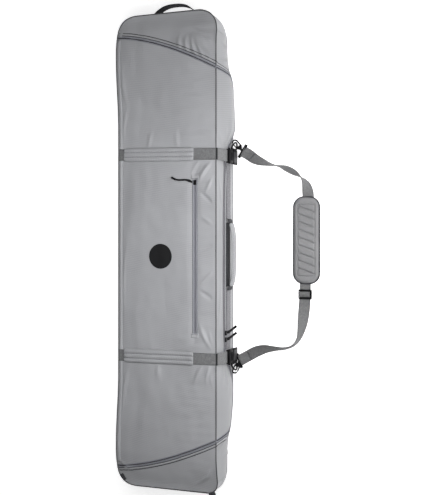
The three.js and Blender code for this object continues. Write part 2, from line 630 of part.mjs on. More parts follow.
function buildShoulderStrap() {
  for (const [name, route, steps] of [
    ["shoulder_webbing_upper", UPPER_ROUTE, 24], ["shoulder_webbing_lower", LOWER_ROUTE, 36],
  ]) {
    const path = new THREE.CatmullRomCurve3(
      route.map((p) => new THREE.Vector3(...p)), false, "centripetal");
    add(name, sweep(path, beltSection(), steps), BELT);
  }
  const { x, y, width, length, thick, corner } = PAD;
  const [w, l] = [width / 2, length / 2];
  const outline = new THREE.Shape()
    .moveTo(corner - w, -l)
    .lineTo(w - corner, -l).quadraticCurveTo(w, -l, w, corner - l)
    .lineTo(w, l - corner).quadraticCurveTo(w, l, w - corner, l)
    .lineTo(corner - w, l).quadraticCurveTo(-w, l, -w, l - corner)
    .lineTo(-w, corner - l).quadraticCurveTo(-w, -l, corner - w, -l);
  add("shoulder_pad", extrudeUp(outline, GAP, GAP + thick, 4).translate(x, y, 0), SHELL);

  const { width: gw, length: gl, thick: gt, bar } = GLIDE;
  const slot = (low, high) => box(
    GLIDE.x - gw / 2 + bar / 2, GLIDE.x + gw / 2 - bar / 2, GLIDE.y + low, GLIDE.y + high, 0, 20);
  const frame = box(
    GLIDE.x - gw / 2, GLIDE.x + gw / 2, GLIDE.y - gl / 2, GLIDE.y + gl / 2, GLIDE.z, GLIDE.z + gt);
  const edge = gl / 2 - bar;
  add("tri_glide", cut(frame, slot(-edge, -bar / 2), slot(bar / 2, edge)), BLACK);
}

// ---- assembly -------------------------------------------------------------------------------------------
buildTray();
buildLid();
buildMainSliders();
ENDS.forEach(buildStrap);
buildSideWebbing();
ENDS.forEach(buildRing);
buildHook("upper", UPPER_EYE, [0.84, -0.557]);
buildHook("lower", LOWER_EYE, [0.946, 0.325]);
buildShoulderStrap();

export default bag;
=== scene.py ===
"""A padded snowboard bag lying on its back, its shoulder strap beside it on the ground.

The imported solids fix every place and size. The soft pieces are built over them, and the hard pieces are
their solids again with worked edges. Everything is in metres: +X across towards the carrying side, +Y
along towards the end handle, +Z up out of the front.
"""
import json
import math

import bmesh
import bpy
import numpy as np
from mathutils import Matrix, Vector, noise


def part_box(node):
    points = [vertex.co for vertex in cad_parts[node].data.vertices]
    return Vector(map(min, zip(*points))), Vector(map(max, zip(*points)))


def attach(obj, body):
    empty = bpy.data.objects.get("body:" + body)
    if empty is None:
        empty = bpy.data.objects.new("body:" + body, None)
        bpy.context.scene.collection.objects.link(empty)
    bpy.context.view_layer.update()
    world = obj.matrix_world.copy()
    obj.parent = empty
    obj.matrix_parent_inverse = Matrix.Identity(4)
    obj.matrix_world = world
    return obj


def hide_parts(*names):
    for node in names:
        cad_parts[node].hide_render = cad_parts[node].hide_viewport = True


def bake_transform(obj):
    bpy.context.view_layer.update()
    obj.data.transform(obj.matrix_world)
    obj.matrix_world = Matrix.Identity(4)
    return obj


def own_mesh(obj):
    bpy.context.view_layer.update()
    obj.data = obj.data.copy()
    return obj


bl_info = {
    "name": "Snowboard Bag",
    "version": (1, 0, 0),
    "blender": (4, 5, 0),
    "location": "View3D > Sidebar > Bag",
    "description": "Builds a padded snowboard bag with its straps, zippers and handles",
    "category": "Object",
}

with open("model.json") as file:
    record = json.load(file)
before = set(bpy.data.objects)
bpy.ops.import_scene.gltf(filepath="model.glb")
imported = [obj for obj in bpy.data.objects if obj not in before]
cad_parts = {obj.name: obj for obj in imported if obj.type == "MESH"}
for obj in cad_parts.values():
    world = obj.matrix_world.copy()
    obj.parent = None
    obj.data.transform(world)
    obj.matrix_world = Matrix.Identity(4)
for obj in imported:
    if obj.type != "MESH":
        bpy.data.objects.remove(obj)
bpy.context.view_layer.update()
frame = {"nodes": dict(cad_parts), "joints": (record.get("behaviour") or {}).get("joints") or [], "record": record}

# ---- sizes that every panel shares ------------------------------------------------------------------
HALF_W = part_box("back_panel")[1].x
HALF_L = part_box("back_panel")[1].y
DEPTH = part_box("front_panel")[1].z
CORNER_LEFT = 0.075
CORNER_RIGHT = {1: 0.072, -1: 0.035}  # at the top end and at the bottom end
END_DROP = 0.018  # how far the front settles towards both ends
CORNER_POWER = {"left": 2.6, "right": 2.1}
SIDE_SWELL = {"middle": 0.012, "waist": 0.007, "top": 0.030, "bottom": 0.020}
LEFT_SWELL = 0.009  # how far the hinge side swells near the ends
BACK_TUCK = 0.022  # how far the back edge draws in at the ends
ZIP_LEVEL = 0.110
POCKET_X = (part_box("pocket_zipper_tape")[0].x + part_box("pocket_zipper_tape")[1].x) / 2
DIAGONAL_POWER = 1.5
STRAP_WIDTH = 0.040
CLOTH = 0.004  # shell, foam and lining together
BELT = 0.0022  # a webbing's thickness
COLUMNS = 96  # points across the front, from side to side


class End:
    """One end of the bag: its names and direction, its zipper's crossing and rise, its strap and its swell."""

    def __init__(self, label, place, sign, seam, rise, strap, skew, bulge):
        self.label = label
        self.place = place
        self.sign = sign
        self.seam = seam
        self.rise = rise
        self.strap = strap
        self.skew = skew
        self.bulge = bulge


TOP = End("upper", "top", 1, 0.605, 0.126, 0.320, 0.008, SIDE_SWELL["top"])
BOTTOM = End("lower", "bottom", -1, 0.625, 0.113, 0.357, 0.0, SIDE_SWELL["bottom"])
ENDS = (TOP, BOTTOM)


def mix(a, b, t):
    return a + (b - a) * t


def ease(a, b, x):
    t = min(max((x - a) / (b - a), 0.0), 1.0)
    return t * t * (3 - 2 * t)


def spread(a, b, count):
    return [mix(a, b, i / (count - 1)) for i in range(count)]


def curve_through(points, per_span):
    """A smooth line through given points, by centripetal spans."""
    p = [np.array(q, float) for q in points]
    p = [2 * p[0] - p[1], *p, 2 * p[-1] - p[-2]]
    line = []
    for a, b, c, d in zip(p, p[1:], p[2:], p[3:]):
        knots = [0.0]
        for q, r in ((a, b), (b, c), (c, d)):
            knots.append(knots[-1] + max(np.linalg.norm(r[:3] - q[:3]), 1e-6) ** 0.5)
        t0, t1, t2, t3 = knots
        for i in range(per_span):
            t = mix(t1, t2, i / per_span)
            ab = a * (t1 - t) / (t1 - t0) + b * (t - t0) / (t1 - t0)
            bc = b * (t2 - t) / (t2 - t1) + c * (t - t1) / (t2 - t1)
            cd = c * (t3 - t) / (t3 - t2) + d * (t - t2) / (t3 - t2)
            abc = ab * (t2 - t) / (t2 - t0) + bc * (t - t0) / (t2 - t0)
            bcd = bc * (t3 - t) / (t3 - t1) + cd * (t - t1) / (t3 - t1)
            line.append(abc * (t2 - t) / (t2 - t1) + bcd * (t - t1) / (t2 - t1))
    return np.array([*line, p[-2]])


def run_along(line):
    """How far along a line each of its points lies."""
    return np.concatenate([[0], np.cumsum(np.linalg.norm(np.diff(line, axis=0), axis=1))])


def unit(rows):
    """The same directions, each with a length of 1."""
    return rows / np.linalg.norm(rows, axis=1)[:, None]


def even_steps(line, step):
    """The same line with points a fixed step apart."""
    line = np.array(line, float)
    run = run_along(line[:, :3])
    at = np.linspace(0, run[-1], max(2, round(run[-1] / step) + 1))
    return np.stack([np.interp(at, run, line[:, k]) for k in range(line.shape[1])], axis=1)


# ---- the bag's surfaces -----------------------------------------------------------------------------
# Folds on the front: middle x and y, length, width, height, and the angle of the fold in degrees.
FRONT_FOLDS = (
    (0.150, 0.646, 0.085, 0.012, 0.0062, 128), (0.126, 0.662, 0.080, 0.012, 0.0058, 118),
    (0.100, 0.676, 0.064, 0.011, 0.0048, 106), (0.074, 0.686, 0.050, 0.010, 0.0040, 98),
    (0.048, 0.694, 0.040, 0.010, 0.0030, 92),
    (0.150, 0.700, 0.075, 0.010, 0.0026, 150), (0.128, 0.725, 0.060, 0.010, 0.0022, 158),
    (-0.166, 0.735, 0.040, 0.009, 0.0026, 80),
    (0.108, 0.286, 0.075, 0.011, 0.0034, 62), (0.136, 0.262, 0.090, 0.012, 0.0036, 55),
    (0.158, 0.225, 0.060, 0.010, 0.0028, 60), (0.148, 0.172, 0.070, 0.011, -0.0030, 140),
    (0.156, 0.095, 0.060, 0.012, 0.0022, 150), (0.140, 0.010, 0.070, 0.012, -0.0020, 20),
    (0.152, -0.085, 0.070, 0.012, 0.0024, 35), (0.150, -0.150, 0.070, 0.011, -0.0026, 150),
    (0.138, -0.285, 0.085, 0.011, 0.0032, 118), (0.165, -0.300, 0.060, 0.010, 0.0028, 112),
    (0.118, -0.402, 0.060, 0.010, 0.0034, 62), (0.150, -0.400, 0.060, 0.010, 0.0032, 75),
    (0.165, -0.430, 0.060, 0.010, 0.0026, 100),
    (0.152, -0.735, 0.080, 0.011, 0.0032, 50), (0.128, -0.760, 0.060, 0.010, 0.0026, 35),
    (-0.150, -0.735, 0.060, 0.011, 0.0024, 140), (-0.160, 0.420, 0.120, 0.014, 0.0022, 80),
    (-0.155, 0.560, 0.120, 0.015, 0.0022, 96), (-0.160, -0.100, 0.200, 0.016, 0.0018, 88),
    (-0.158, -0.480, 0.130, 0.015, 0.0022, 84), (-0.060, 0.372, 0.060, 0.010, 0.0018, 80),
    (0.040, 0.366, 0.060, 0.010, 0.0018, 95), (-0.030, -0.402, 0.050, 0.010, 0.0018, 92),
)
# Folds on the right wall: middle y and z, length, width, height, angle from the Y axis in degrees.
SIDE_FOLDS = (
    (0.385, 0.120, 0.075, 0.010, 0.0050, 20), (0.372, 0.140, 0.060, 0.009, 0.0042, 34),
    (0.392, 0.095, 0.090, 0.010, 0.0045, 8), (0.262, 0.075, 0.060, 0.010, 0.0034, 150),
    (-0.412, 0.125, 0.070, 0.010, 0.0045, 160), (-0.425, 0.100, 0.090, 0.010, 0.0042, 174),
    (-0.640, 0.120, 0.070, 0.010, 0.0040, 120), (0.470, 0.040, 0.120, 0.016, 0.0040, 6),
    (0.640, 0.090, 0.090, 0.012, 0.0040, 100), (0.690, 0.070, 0.080, 0.012, 0.0034, 84),
    (-0.690, 0.060, 0.090, 0.012, 0.0034, 95), (0.080, 0.140, 0.150, 0.012, 0.0022, 4),
    (-0.160, 0.142, 0.160, 0.012, 0.0024, 176), (0.190, 0.140, 0.080, 0.010, 0.0028, 12),
)


def fold_height(folds, a, b):
    """The height of all the folds together at one place; each fades along and across, and bends a little."""
    total = 0.0
    for fa, fb, length, width, height, angle in folds:
        da, db = a - fa, b - fb
        if abs(da) > length or abs(db) > length:
            continue
        turn = math.radians(angle)
        along = da * math.cos(turn) + db * math.sin(turn)
        across = -da * math.sin(turn) + db * math.cos(turn)
        bend = across + 0.12 * along * along / length
        total += height * math.exp(-((2.2 * along / length) ** 2) - (1.8 * bend / width) ** 2)
    return total


def swell(y):
    """How far the right wall swells outwards at a place along the bag."""
    end = TOP if y > 0 else BOTTOM
    stations = (
        (0.0, SIDE_SWELL["middle"]), (end.strap - 0.050, SIDE_SWELL["middle"] - 0.001),
        (end.strap - 0.010, SIDE_SWELL["waist"]), (end.strap + 0.030, SIDE_SWELL["waist"] + 0.001),
        (end.strap + 0.105, end.bulge), (end.seam - 0.060, end.bulge * 0.85),
        (end.seam + 0.060, 0.006), (HALF_L - CORNER_RIGHT[end.sign], 0.0),
    )
    place = min(abs(y), stations[-1][0])
    for (y0, b0), (y1, b1) in zip(stations, stations[1:]):
        if place <= y1:
            return mix(b0, b1, ease(y0, y1, place))
    return 0.0


def tuck(y):
    """How far the back edge of a side wall draws in at a place along the bag."""
    return BACK_TUCK * ease(0.50, 0.70, abs(y))


def rise(z):
    """How far up the bag's walls a height is, from 0 to 1."""
    return min(max(z / DEPTH, 0.0), 1.0)


def bow(z):
    """A bow over the walls' height: 0 at the back and at the front, 1 half way."""
    return math.sin(math.pi * rise(z))


def drawn_in(z):
    """How much of the back edge's tuck is left at a height; none is left above five eighths."""
    return 1 - math.sin(math.pi / 2 * min(rise(z) * 1.6, 1.0))


def wall_x(y, z):
    """The right wall's outer face."""
    folds = bow(z) ** 0.5 * fold_height(SIDE_FOLDS, y, z)
    return HALF_W + swell(y) * bow(z) - tuck(y) * drawn_in(z) + folds


def lean(x, y):
    """Moves a place on the hinge side out by that side's swell."""
    return x - LEFT_SWELL * ease(0.42, 0.66, abs(y)) * ease(0.02, -HALF_W, x)


def left_x(y, z):
    """The hinge side's outer face."""
    soft = 0.0015 * noise.noise(Vector((0.0, y * 14, z * 20)))
    return lean(-HALF_W, y) - 0.006 * bow(z) - soft * bow(z) + tuck(y) * drawn_in(z)


def settle(y, z):
    """The height again, where the front has sunk towards the ends."""
    return z * (1 - END_DROP / DEPTH * ease(0.68, HALF_L, abs(y)))


def end_limit(x, sign):
    """How far the bag reaches along Y at a place across it, round both corners of one end."""
    if x < CORNER_LEFT - HALF_W:
        radius, power = CORNER_LEFT, CORNER_POWER["left"]
        past = (CORNER_LEFT - HALF_W - x) / radius
    elif x > HALF_W - CORNER_RIGHT[sign]:
        radius, power = CORNER_RIGHT[sign], CORNER_POWER["right"]
        past = (x - HALF_W + radius) / radius
    else:
        return HALF_L
    return HALF_L - radius + radius * max(0.0, 1 - min(past, 1.0) ** power) ** (1 / power)


def columns(count=COLUMNS):
    """Places across the bag, close together round the corners."""
    return [HALF_W * math.sin(math.pi / 2 * t) for t in spread(-1, 1, count)]


def diagonal(end, x):
    """Where the main zipper crosses the front."""
    share = min(max((x + HALF_W) / (2 * HALF_W), 0.0), 1.0)
    return end.sign * (end.seam + end.rise * (1 - share ** DIAGONAL_POWER))


def front_z(x, y):
    """The front's outer face: crowned, drawn in under the straps, with soft folds."""
    u = min(abs(x) / HALF_W, 1.0)
    inside = (1 - u ** 4) * (1 - ease(HALF_L - 0.06, HALF_L, abs(y)))
    valley = math.exp(-(((x - POCKET_X) / 0.016) ** 2)) * (1 - ease(0.26, 0.33, abs(y)))
    pinch = sum(math.exp(-(((y - e.sign * e.strap) / 0.045) ** 2)) for e in ENDS)
    soft = 0.0030 * noise.noise(Vector((x * 9, y * 5, 0.3)))
    soft += 0.0012 * noise.noise(Vector((x * 30, y * 18, 2.0)))
    soft += 0.0016 * noise.noise(Vector((x * 10, y * 46, 5.0))) * ease(0.0, 0.12, x)
    soft += 0.0022 * noise.noise(Vector((x * 24, y * 4, 9.0))) * ease(-0.02, -0.13, x)
    edge = min(1.0, (HALF_W - abs(x)) / 0.02, (end_limit(x, 1 if y > 0 else -1) - abs(y)) / 0.02)
    folds = fold_height(FRONT_FOLDS, x, y) * max(edge, 0.0)
    crown = 0.005 * inside * (1 - 0.55 * pinch) * (1 - 0.8 * valley)
    clear = 1 - sum(math.exp(-(((y - e.sign * e.strap) / 0.030) ** 4)) for e in ENDS)
    lively = (soft + folds * 2.0 * clear) * (1 - 0.7 * valley) * inside ** 0.5 * max(edge, 0.0)
    return settle(y, DEPTH) + crown + lively


def wall_line():
    """The main zipper's line on the right wall, from the bottom end to the top end, as y and z."""
    level = ZIP_LEVEL / DEPTH
    halves = []
    for end in (BOTTOM, TOP):
        seam, strap = end.seam, end.strap
        dive = (
            (seam, 1.0), (seam - 0.008, 0.71), (seam - 0.019, 0.4), (seam - 0.034, 0.28),
            (seam - 0.052, 0.21), (seam - 0.085, 0.17), (strap + 0.150, 0.17), (strap + 0.100, 0.2),
            (strap + 0.060, 0.3), (strap + 0.030, 0.43), (strap + 0.002, level - 0.07),
            (strap - 0.024, level),
        )
        halves.append([(end.sign * y, share * DEPTH, 0.0) for y, share in dive])
    points = halves[0] + halves[1][::-1]
    return even_steps(curve_through(points, 10), 0.004)[:, :2]


WALL_LINE = wall_line()


def beside(line, distance):
    """A flat line moved to its left by a distance."""
    along = unit(np.gradient(line, axis=0))
    return line + distance * np.stack([-along[:, 1], along[:, 0]], axis=1)


# ---- mesh making ------------------------------------------------------------------------------------
def deselect():
    bpy.ops.object.select_all(action="DESELECT")


def pick(piece):
    deselect()
    piece.select_set(True)
    bpy.context.view_layer.objects.active = piece


def finish_modifiers(piece):
    pick(piece)
    for modifier in list(piece.modifiers):
        bpy.ops.object.modifier_apply(modifier=modifier.name)
    return piece


def soften(piece, width, segments, limit, smooth=40):
    """Rounds the edges that bend past a limit in degrees, and shades the piece smooth."""
    edges = piece.modifiers.new("edges", "BEVEL")
    edges.width = width
    edges.segments = segments
    edges.limit_method = "ANGLE"
    edges.angle_limit = math.radians(limit)
    finish_modifiers(piece)
    bpy.ops.object.shade_smooth_by_angle(angle=math.radians(smooth))


def stand_between(piece, start, finish):
    """Lays an upright piece from one place to another."""
    turn = Vector((0, 0, 1)).rotation_difference(finish - start)
    piece.data.transform(Matrix.Translation((start + finish) / 2) @ turn.to_matrix().to_4x4())


def bisect(made, z):
    """Cuts a whole mesh across at a height."""
    bmesh.ops.bisect_plane(
        made, geom=made.verts[:] + made.edges[:] + made.faces[:], plane_co=(0, 0, z), plane_no=(0, 0, 1))


def points_of(piece):
    return np.array([v.co for v in piece.data.vertices], float)


def set_points(piece, points):
    piece.data.vertices.foreach_set("co", points.astype(np.float32).ravel())
    piece.data.update()


def lay_weave(mesh, uvs):
    """Gives a mesh the UV map that its weave follows; uvs holds one pair for each point."""
    layer = mesh.uv_layers.new(name="cloth")
    index = np.zeros(len(mesh.loops), np.int32)
    mesh.loops.foreach_get("vertex_index", index)
    layer.data.foreach_set("uv", np.array(uvs, np.float32)[index].ravel())


def new_piece(name, points, faces, uvs=None, materials=()):
    """A mesh object from points and faces; uvs holds one pair for each point."""
    mesh = bpy.data.meshes.new(name)
    mesh.from_pydata([tuple(p) for p in points], [], faces)
    if uvs is not None:
        lay_weave(mesh, uvs)
    mesh.shade_smooth()
    for material in materials:
        mesh.materials.append(material)
    piece = bpy.data.objects.new(name, mesh)
    bpy.context.scene.collection.objects.link(piece)
    return piece


def grid_faces(rows, across, wrap=False):
    faces = []
    for j in range(rows - 1):
        for i in range(across if wrap else across - 1):
            a, b = j * across + i, j * across + (i + 1) % across
            faces.append((a, b, b + across, a + across))
    return faces


def tube_faces(rows, across):
    """The faces of a tube that is closed at both ends."""
    last = (rows - 1) * across
    ends = [tuple(range(across))[::-1], tuple(range(last, last + across))]
    return grid_faces(rows, across, wrap=True) + ends


def loop_faces(rows, across):
    """The faces of a tube that runs back into itself."""
    faces = []
    for j in range(rows):
        a, b = j * across, (j + 1) % rows * across
        for i in range(across):
            faces.append((a + i, a + (i + 1) % across, b + (i + 1) % across, b + i))
    return faces


def grid_of(rows, across, place):
    """A grid of points and one of cloth marks; place gives both for a row's and a column's value."""
    pairs = [[place(row, column) for column in across] for row in rows]
    return [[point for point, _ in row] for row in pairs], [[mark for _, mark in row] for row in pairs]


def cloth(name, grid, uv, materials, thickness=CLOTH, flip=False):
    """A sheet over a grid of points, given its thickness inwards; the second material is its lining."""
    rows, across = len(grid), len(grid[0])
    faces = grid_faces(rows, across)
    if flip:
        faces = [f[::-1] for f in faces]
    piece = new_piece(
        name, [p for row in grid for p in row], faces, [p for row in uv for p in row], materials)
    wall = piece.modifiers.new("wall", "SOLIDIFY")
    wall.thickness = thickness
    wall.offset = -1
    wall.use_even_offset = True
    wall.material_offset = len(materials) - 1
    return finish_modifiers(piece)


def frames_along(line, up):
    """Directions along a line and square to it; up is one direction or one for each point."""
    line = np.array(line, float)
    along = unit(np.gradient(line, axis=0))
    side = unit(np.cross(along, np.broadcast_to(np.array(up, float), line.shape)))
    return along, side, np.cross(side, along)


def sweep(name, line, section, materials, up=(0, 0, 1), grow=None):
    """A closed solid along a line. section is pairs of side and up distances; grow scales it on the way."""
    line = np.array(line, float)
    _, side, over = frames_along(line, up)
    section = np.array(section, float)
    run, girth = run_along(line), run_along(section)
    points, uvs = [], []
    for k, place in enumerate(line):
        scale = 1.0 if grow is None else grow(k / (len(line) - 1))
        for (a, b), g in zip(section, girth):
            points.append(place + side[k] * a * scale + over[k] * b * scale)
            uvs.append((g, run[k]))
    return outward(new_piece(name, points, tube_faces(len(line), len(section)), uvs, materials))


def outward(piece):
    """Turns every face of a closed piece outwards."""
    made = bmesh.new()
    made.from_mesh(piece.data)
    bmesh.ops.recalc_face_normals(made, faces=made.faces)
    made.to_mesh(piece.data)
    made.free()
    return piece


def disc(radius, sides=10):
    turn = 2 * math.pi / sides
    return [(radius * math.cos(turn * i), radius * math.sin(turn * i)) for i in range(sides)]


def band_section(width, thick, columns_across=9):
    """A webbing's section with round edges."""
    half, h = width / 2, thick / 2
    top = [(x, h) for x in spread(h - half, half - h, columns_across)]
    bottom = [(x, -h) for x in spread(half - h, h - half, columns_across)]
    return [*top, (half - h * 0.3, h * 0.6), (half, 0), (half - h * 0.3, -h * 0.6),
            *bottom, (h * 0.3 - half, -h * 0.6), (-half, 0), (h * 0.3 - half, h * 0.6)]


def rows_of(name, places, axes, size, material):
    """Many small beads, one at each place, its long axis along axes[0] and its height along axes[1]."""
    long, wide, high = size
    ring = [(-1, 0, 0), (-0.6, 1, 0), (0.6, 1, 0), (1, 0, 0), (0.6, -1, 0), (-0.6, -1, 0),
            (-0.55, 0, 1), (0.55, 0, 1)]
    bead = np.array(ring, float) * (long / 2, wide / 2, high)
    shape = ((0, 1, 6), (1, 2, 7, 6), (2, 3, 7), (3, 4, 7), (4, 5, 6, 7), (5, 0, 6), (5, 4, 3, 2, 1, 0))
    points, faces = [], []
    for place, along, over in zip(places, *axes):
        side = np.cross(over, along)
        base = len(points)
        points.extend(np.array(place) + bead @ np.stack([along, side, over]))
        faces.extend(tuple(base + i for i in f) for f in shape)
    return outward(new_piece(name, points, faces, materials=[material]))


def stitches(name, lines, material, pitch=0.0042, up=(0, 0, 1), thread=(0.0030, 0.0010, 0.0006)):
    """Thread along one or more lines; up is one direction or one list of them for each line."""
    places, alongs, overs = [], [], []
    for line in lines:
        line = even_steps(line, pitch)
        along, _, over = frames_along(line, up)
        places.extend(line)
        alongs.extend(along)
        overs.extend(over)
    return rows_of(name, places, (alongs, overs), thread, material)


def on_body(piece, body, slot, *nodes):
    """Gives a finished piece its body and hides the solids that it stands for; slot is not used."""
    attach(piece, body)
    if nodes:
        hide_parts(*nodes)
    return piece


BODY_OF = {n: b for b, members in frame["record"]["behaviour"]["bodies"].items() for n in members}
SLOT_OF = {s["node"]: s["material_slot"] for s in frame["record"]["subparts"]}


def worked(part, bevel, material, segments=3):
    """A hard solid again, with its edges rounded over."""
    piece = bpy.data.objects.new(f"{part}_moulding", frame["nodes"][part].data.copy())
    bpy.context.scene.collection.objects.link(piece)
    pick(piece)
    bpy.ops.object.mode_set(mode="EDIT")
    bpy.ops.mesh.select_all(action="SELECT")
    bpy.ops.mesh.remove_doubles(threshold=1e-6)
    bpy.ops.mesh.dissolve_limited(angle_limit=math.radians(1))
    bpy.ops.object.mode_set(mode="OBJECT")
    soften(piece, bevel, segments, 35)
    piece.data.materials.clear()
    piece.data.materials.append(material)
    return on_body(piece, BODY_OF[part], SLOT_OF[part], part)


# ---- shader building --------------------------------------------------------------------------------
def node(tree, kind, inputs=(), **settings):
    made = tree.nodes.new(kind)
    for key, value in settings.items():
        setattr(made, key, value)
    for key, value in dict(inputs).items():
        if isinstance(value, bpy.types.NodeSocket):
            tree.links.new(value, made.inputs[key])
        else:
            made.inputs[key].default_value = value
    return made


def maths(tree, operation, *values):
    return node(tree, "ShaderNodeMath", dict(enumerate(values)), operation=operation).outputs[0]


def effect(name, inputs, outputs):
    """A shader node group with named number inputs and outputs, and its two end nodes."""
    tree = bpy.data.node_groups.new(name, "ShaderNodeTree")
    for key, value in inputs.items():
        socket = tree.interface.new_socket(key, in_out="INPUT", socket_type="NodeSocketFloat")
        socket.default_value = value
    for key in outputs:
        tree.interface.new_socket(key, in_out="OUTPUT", socket_type="NodeSocketFloat")
    return tree, node(tree, "NodeGroupInput"), node(tree, "NodeGroupOutput")


def wave(tree, place, period):
    """One smooth ripple for each period, from 0 to 1."""
    turns = maths(tree, "DIVIDE", place, period)
    ripple = maths(tree, "SINE", maths(tree, "MULTIPLY", turns, 2 * math.pi))
    return maths(tree, "MULTIPLY_ADD", ripple, 0.5, 0.5)


def cloth_places(tree):
    """How far across and how far along the cloth a place is."""
    uv = node(tree, "ShaderNodeUVMap", uv_map="cloth").outputs["UV"]
    split = node(tree, "ShaderNodeSeparateXYZ", {"Vector": uv})
    return split.outputs["X"], split.outputs["Y"]


def make_ripstop():
    """A fine square weave with heavier threads at each rip step, stronger in some places than in others."""
    tree, given, out = effect(
        "ripstop", {"Thread": 0.0011, "Rip": 0.005, "Depth": 0.1}, ("Height", "Tone"))
    across, straight = cloth_places(tree)
    along = maths(tree, "MULTIPLY_ADD", across, 0.16, straight)
    thread, rip = given.outputs["Thread"], given.outputs["Rip"]
    weave = maths(tree, "MULTIPLY", wave(tree, across, thread), wave(tree, along, thread))
    faint = maths(tree, "MULTIPLY", maths(tree, "POWER", wave(tree, across, rip), 9.0), 0.4)
    lines = maths(tree, "MAXIMUM", faint, maths(tree, "POWER", wave(tree, along, rip), 4.0))
    at = node(tree, "ShaderNodeTexCoord").outputs["Object"]
    patch = node(tree, "ShaderNodeTexNoise", {"Vector": at, "Scale": 7.0, "Detail": 1.0}).outputs["Fac"]
    shown = node(tree, "ShaderNodeMapRange", {"Value": patch, "From Min": 0.42, "From Max": 0.62,
                                              "To Min": 0.15, "To Max": 1.0}).outputs["Result"]
    dark = maths(tree, "MULTIPLY", maths(tree, "MULTIPLY", lines, shown), given.outputs["Depth"])
    height = maths(tree, "MULTIPLY_ADD", weave, 0.4, maths(tree, "MULTIPLY", lines, 0.6))
    tree.links.new(height, out.inputs["Height"])
    tree.links.new(maths(tree, "SUBTRACT", 1.0, dark), out.inputs["Tone"])


def make_belt_weave():
    """Webbing: ribs along it, crossed by slanting picks."""
    tree, given, out = effect(
        "belt_weave", {"Rib": 0.0022, "Pick": 0.0016, "Depth": 0.25}, ("Height", "Tone"))
    across, along = cloth_places(tree)
    slant = maths(tree, "ADD", along, maths(tree, "PINGPONG", across, given.outputs["Rib"]))
    picks = wave(tree, slant, given.outputs["Pick"])
    ribs = wave(tree, across, given.outputs["Rib"])
    height = maths(tree, "MULTIPLY", picks, maths(tree, "MULTIPLY_ADD", ribs, 0.6, 0.4))
    dark = maths(tree, "MULTIPLY", maths(tree, "SUBTRACT", 1.0, height), given.outputs["Depth"])
    tree.links.new(height, out.inputs["Height"])
    tree.links.new(maths(tree, "SUBTRACT", 1.0, dark), out.inputs["Tone"])


def make_uneven():
    """A broad change of tone, and a fine grain for the bump."""
    tree, given, out = effect("uneven", {"Scale": 8.0, "Amount": 0.1}, ("Tone", "Height"))
    at = node(tree, "ShaderNodeTexCoord").outputs["Object"]
    broad = node(tree, "ShaderNodeTexNoise", {"Vector": at, "Scale": given.outputs["Scale"], "Detail": 3.0})
    fine = node(tree, "ShaderNodeTexNoise", {"Vector": at, "Scale": 900.0, "Detail": 2.0})
    shift = maths(tree, "SUBTRACT", broad.outputs["Fac"], 0.5)
    tone = maths(tree, "MULTIPLY_ADD", shift, given.outputs["Amount"], 1.0)
    tree.links.new(tone, out.inputs["Tone"])
    tree.links.new(fine.outputs["Fac"], out.inputs["Height"])


MATERIALS = {}


def surface(name, colour, rough, weave=None, values=(), bump=0.0003, uneven=(8.0, 0.1),
            metal=0.0, sheen=0.0, gloss=0.35):
    """A finish: its colour, broken up by unevenness and a weave, with a matching bump."""
    made = MATERIALS[name] = bpy.data.materials.new(name)
    made.use_nodes = True
    tree = made.node_tree
    shader = tree.nodes["Principled BSDF"]
    broken = node(tree, "ShaderNodeGroup", node_tree=bpy.data.node_groups["uneven"])
    broken.inputs["Scale"].default_value, broken.inputs["Amount"].default_value = uneven
    tone, height = broken.outputs["Tone"], broken.outputs["Height"]
    if weave:
        woven = node(tree, "ShaderNodeGroup", node_tree=bpy.data.node_groups[weave])
        for key, value in dict(values).items():
            woven.inputs[key].default_value = value
        tone = maths(tree, "MULTIPLY", tone, woven.outputs["Tone"])
        height = maths(tree, "MULTIPLY_ADD", height, 0.25, woven.outputs["Height"])
    light = tuple(min(c * 1.12, 1.0) for c in colour)
    blend = node(tree, "ShaderNodeMix", data_type="RGBA")
    blend.inputs["A"].default_value = (*(c * 0.55 for c in light), 1)
    blend.inputs["B"].default_value = (*light, 1)
    tree.links.new(maths(tree, "MULTIPLY_ADD", tone, 2.2, -1.45), blend.inputs["Factor"])
    tree.links.new(blend.outputs["Result"], shader.inputs["Base Color"])
    rougher = maths(tree, "MULTIPLY_ADD", broken.outputs["Height"], 0.16, rough - 0.08)
    tree.links.new(rougher, shader.inputs["Roughness"])
    lift = node(tree, "ShaderNodeBump", {"Height": height, "Distance": bump, "Strength": 0.6})
    tree.links.new(lift.outputs["Normal"], shader.inputs["Normal"])
    shader.inputs["Metallic"].default_value = metal
    shader.inputs["Specular IOR Level"].default_value = gloss
    if sheen:
        shader.inputs["Sheen Weight"].default_value = sheen
        shader.inputs["Sheen Roughness"].default_value = 0.5


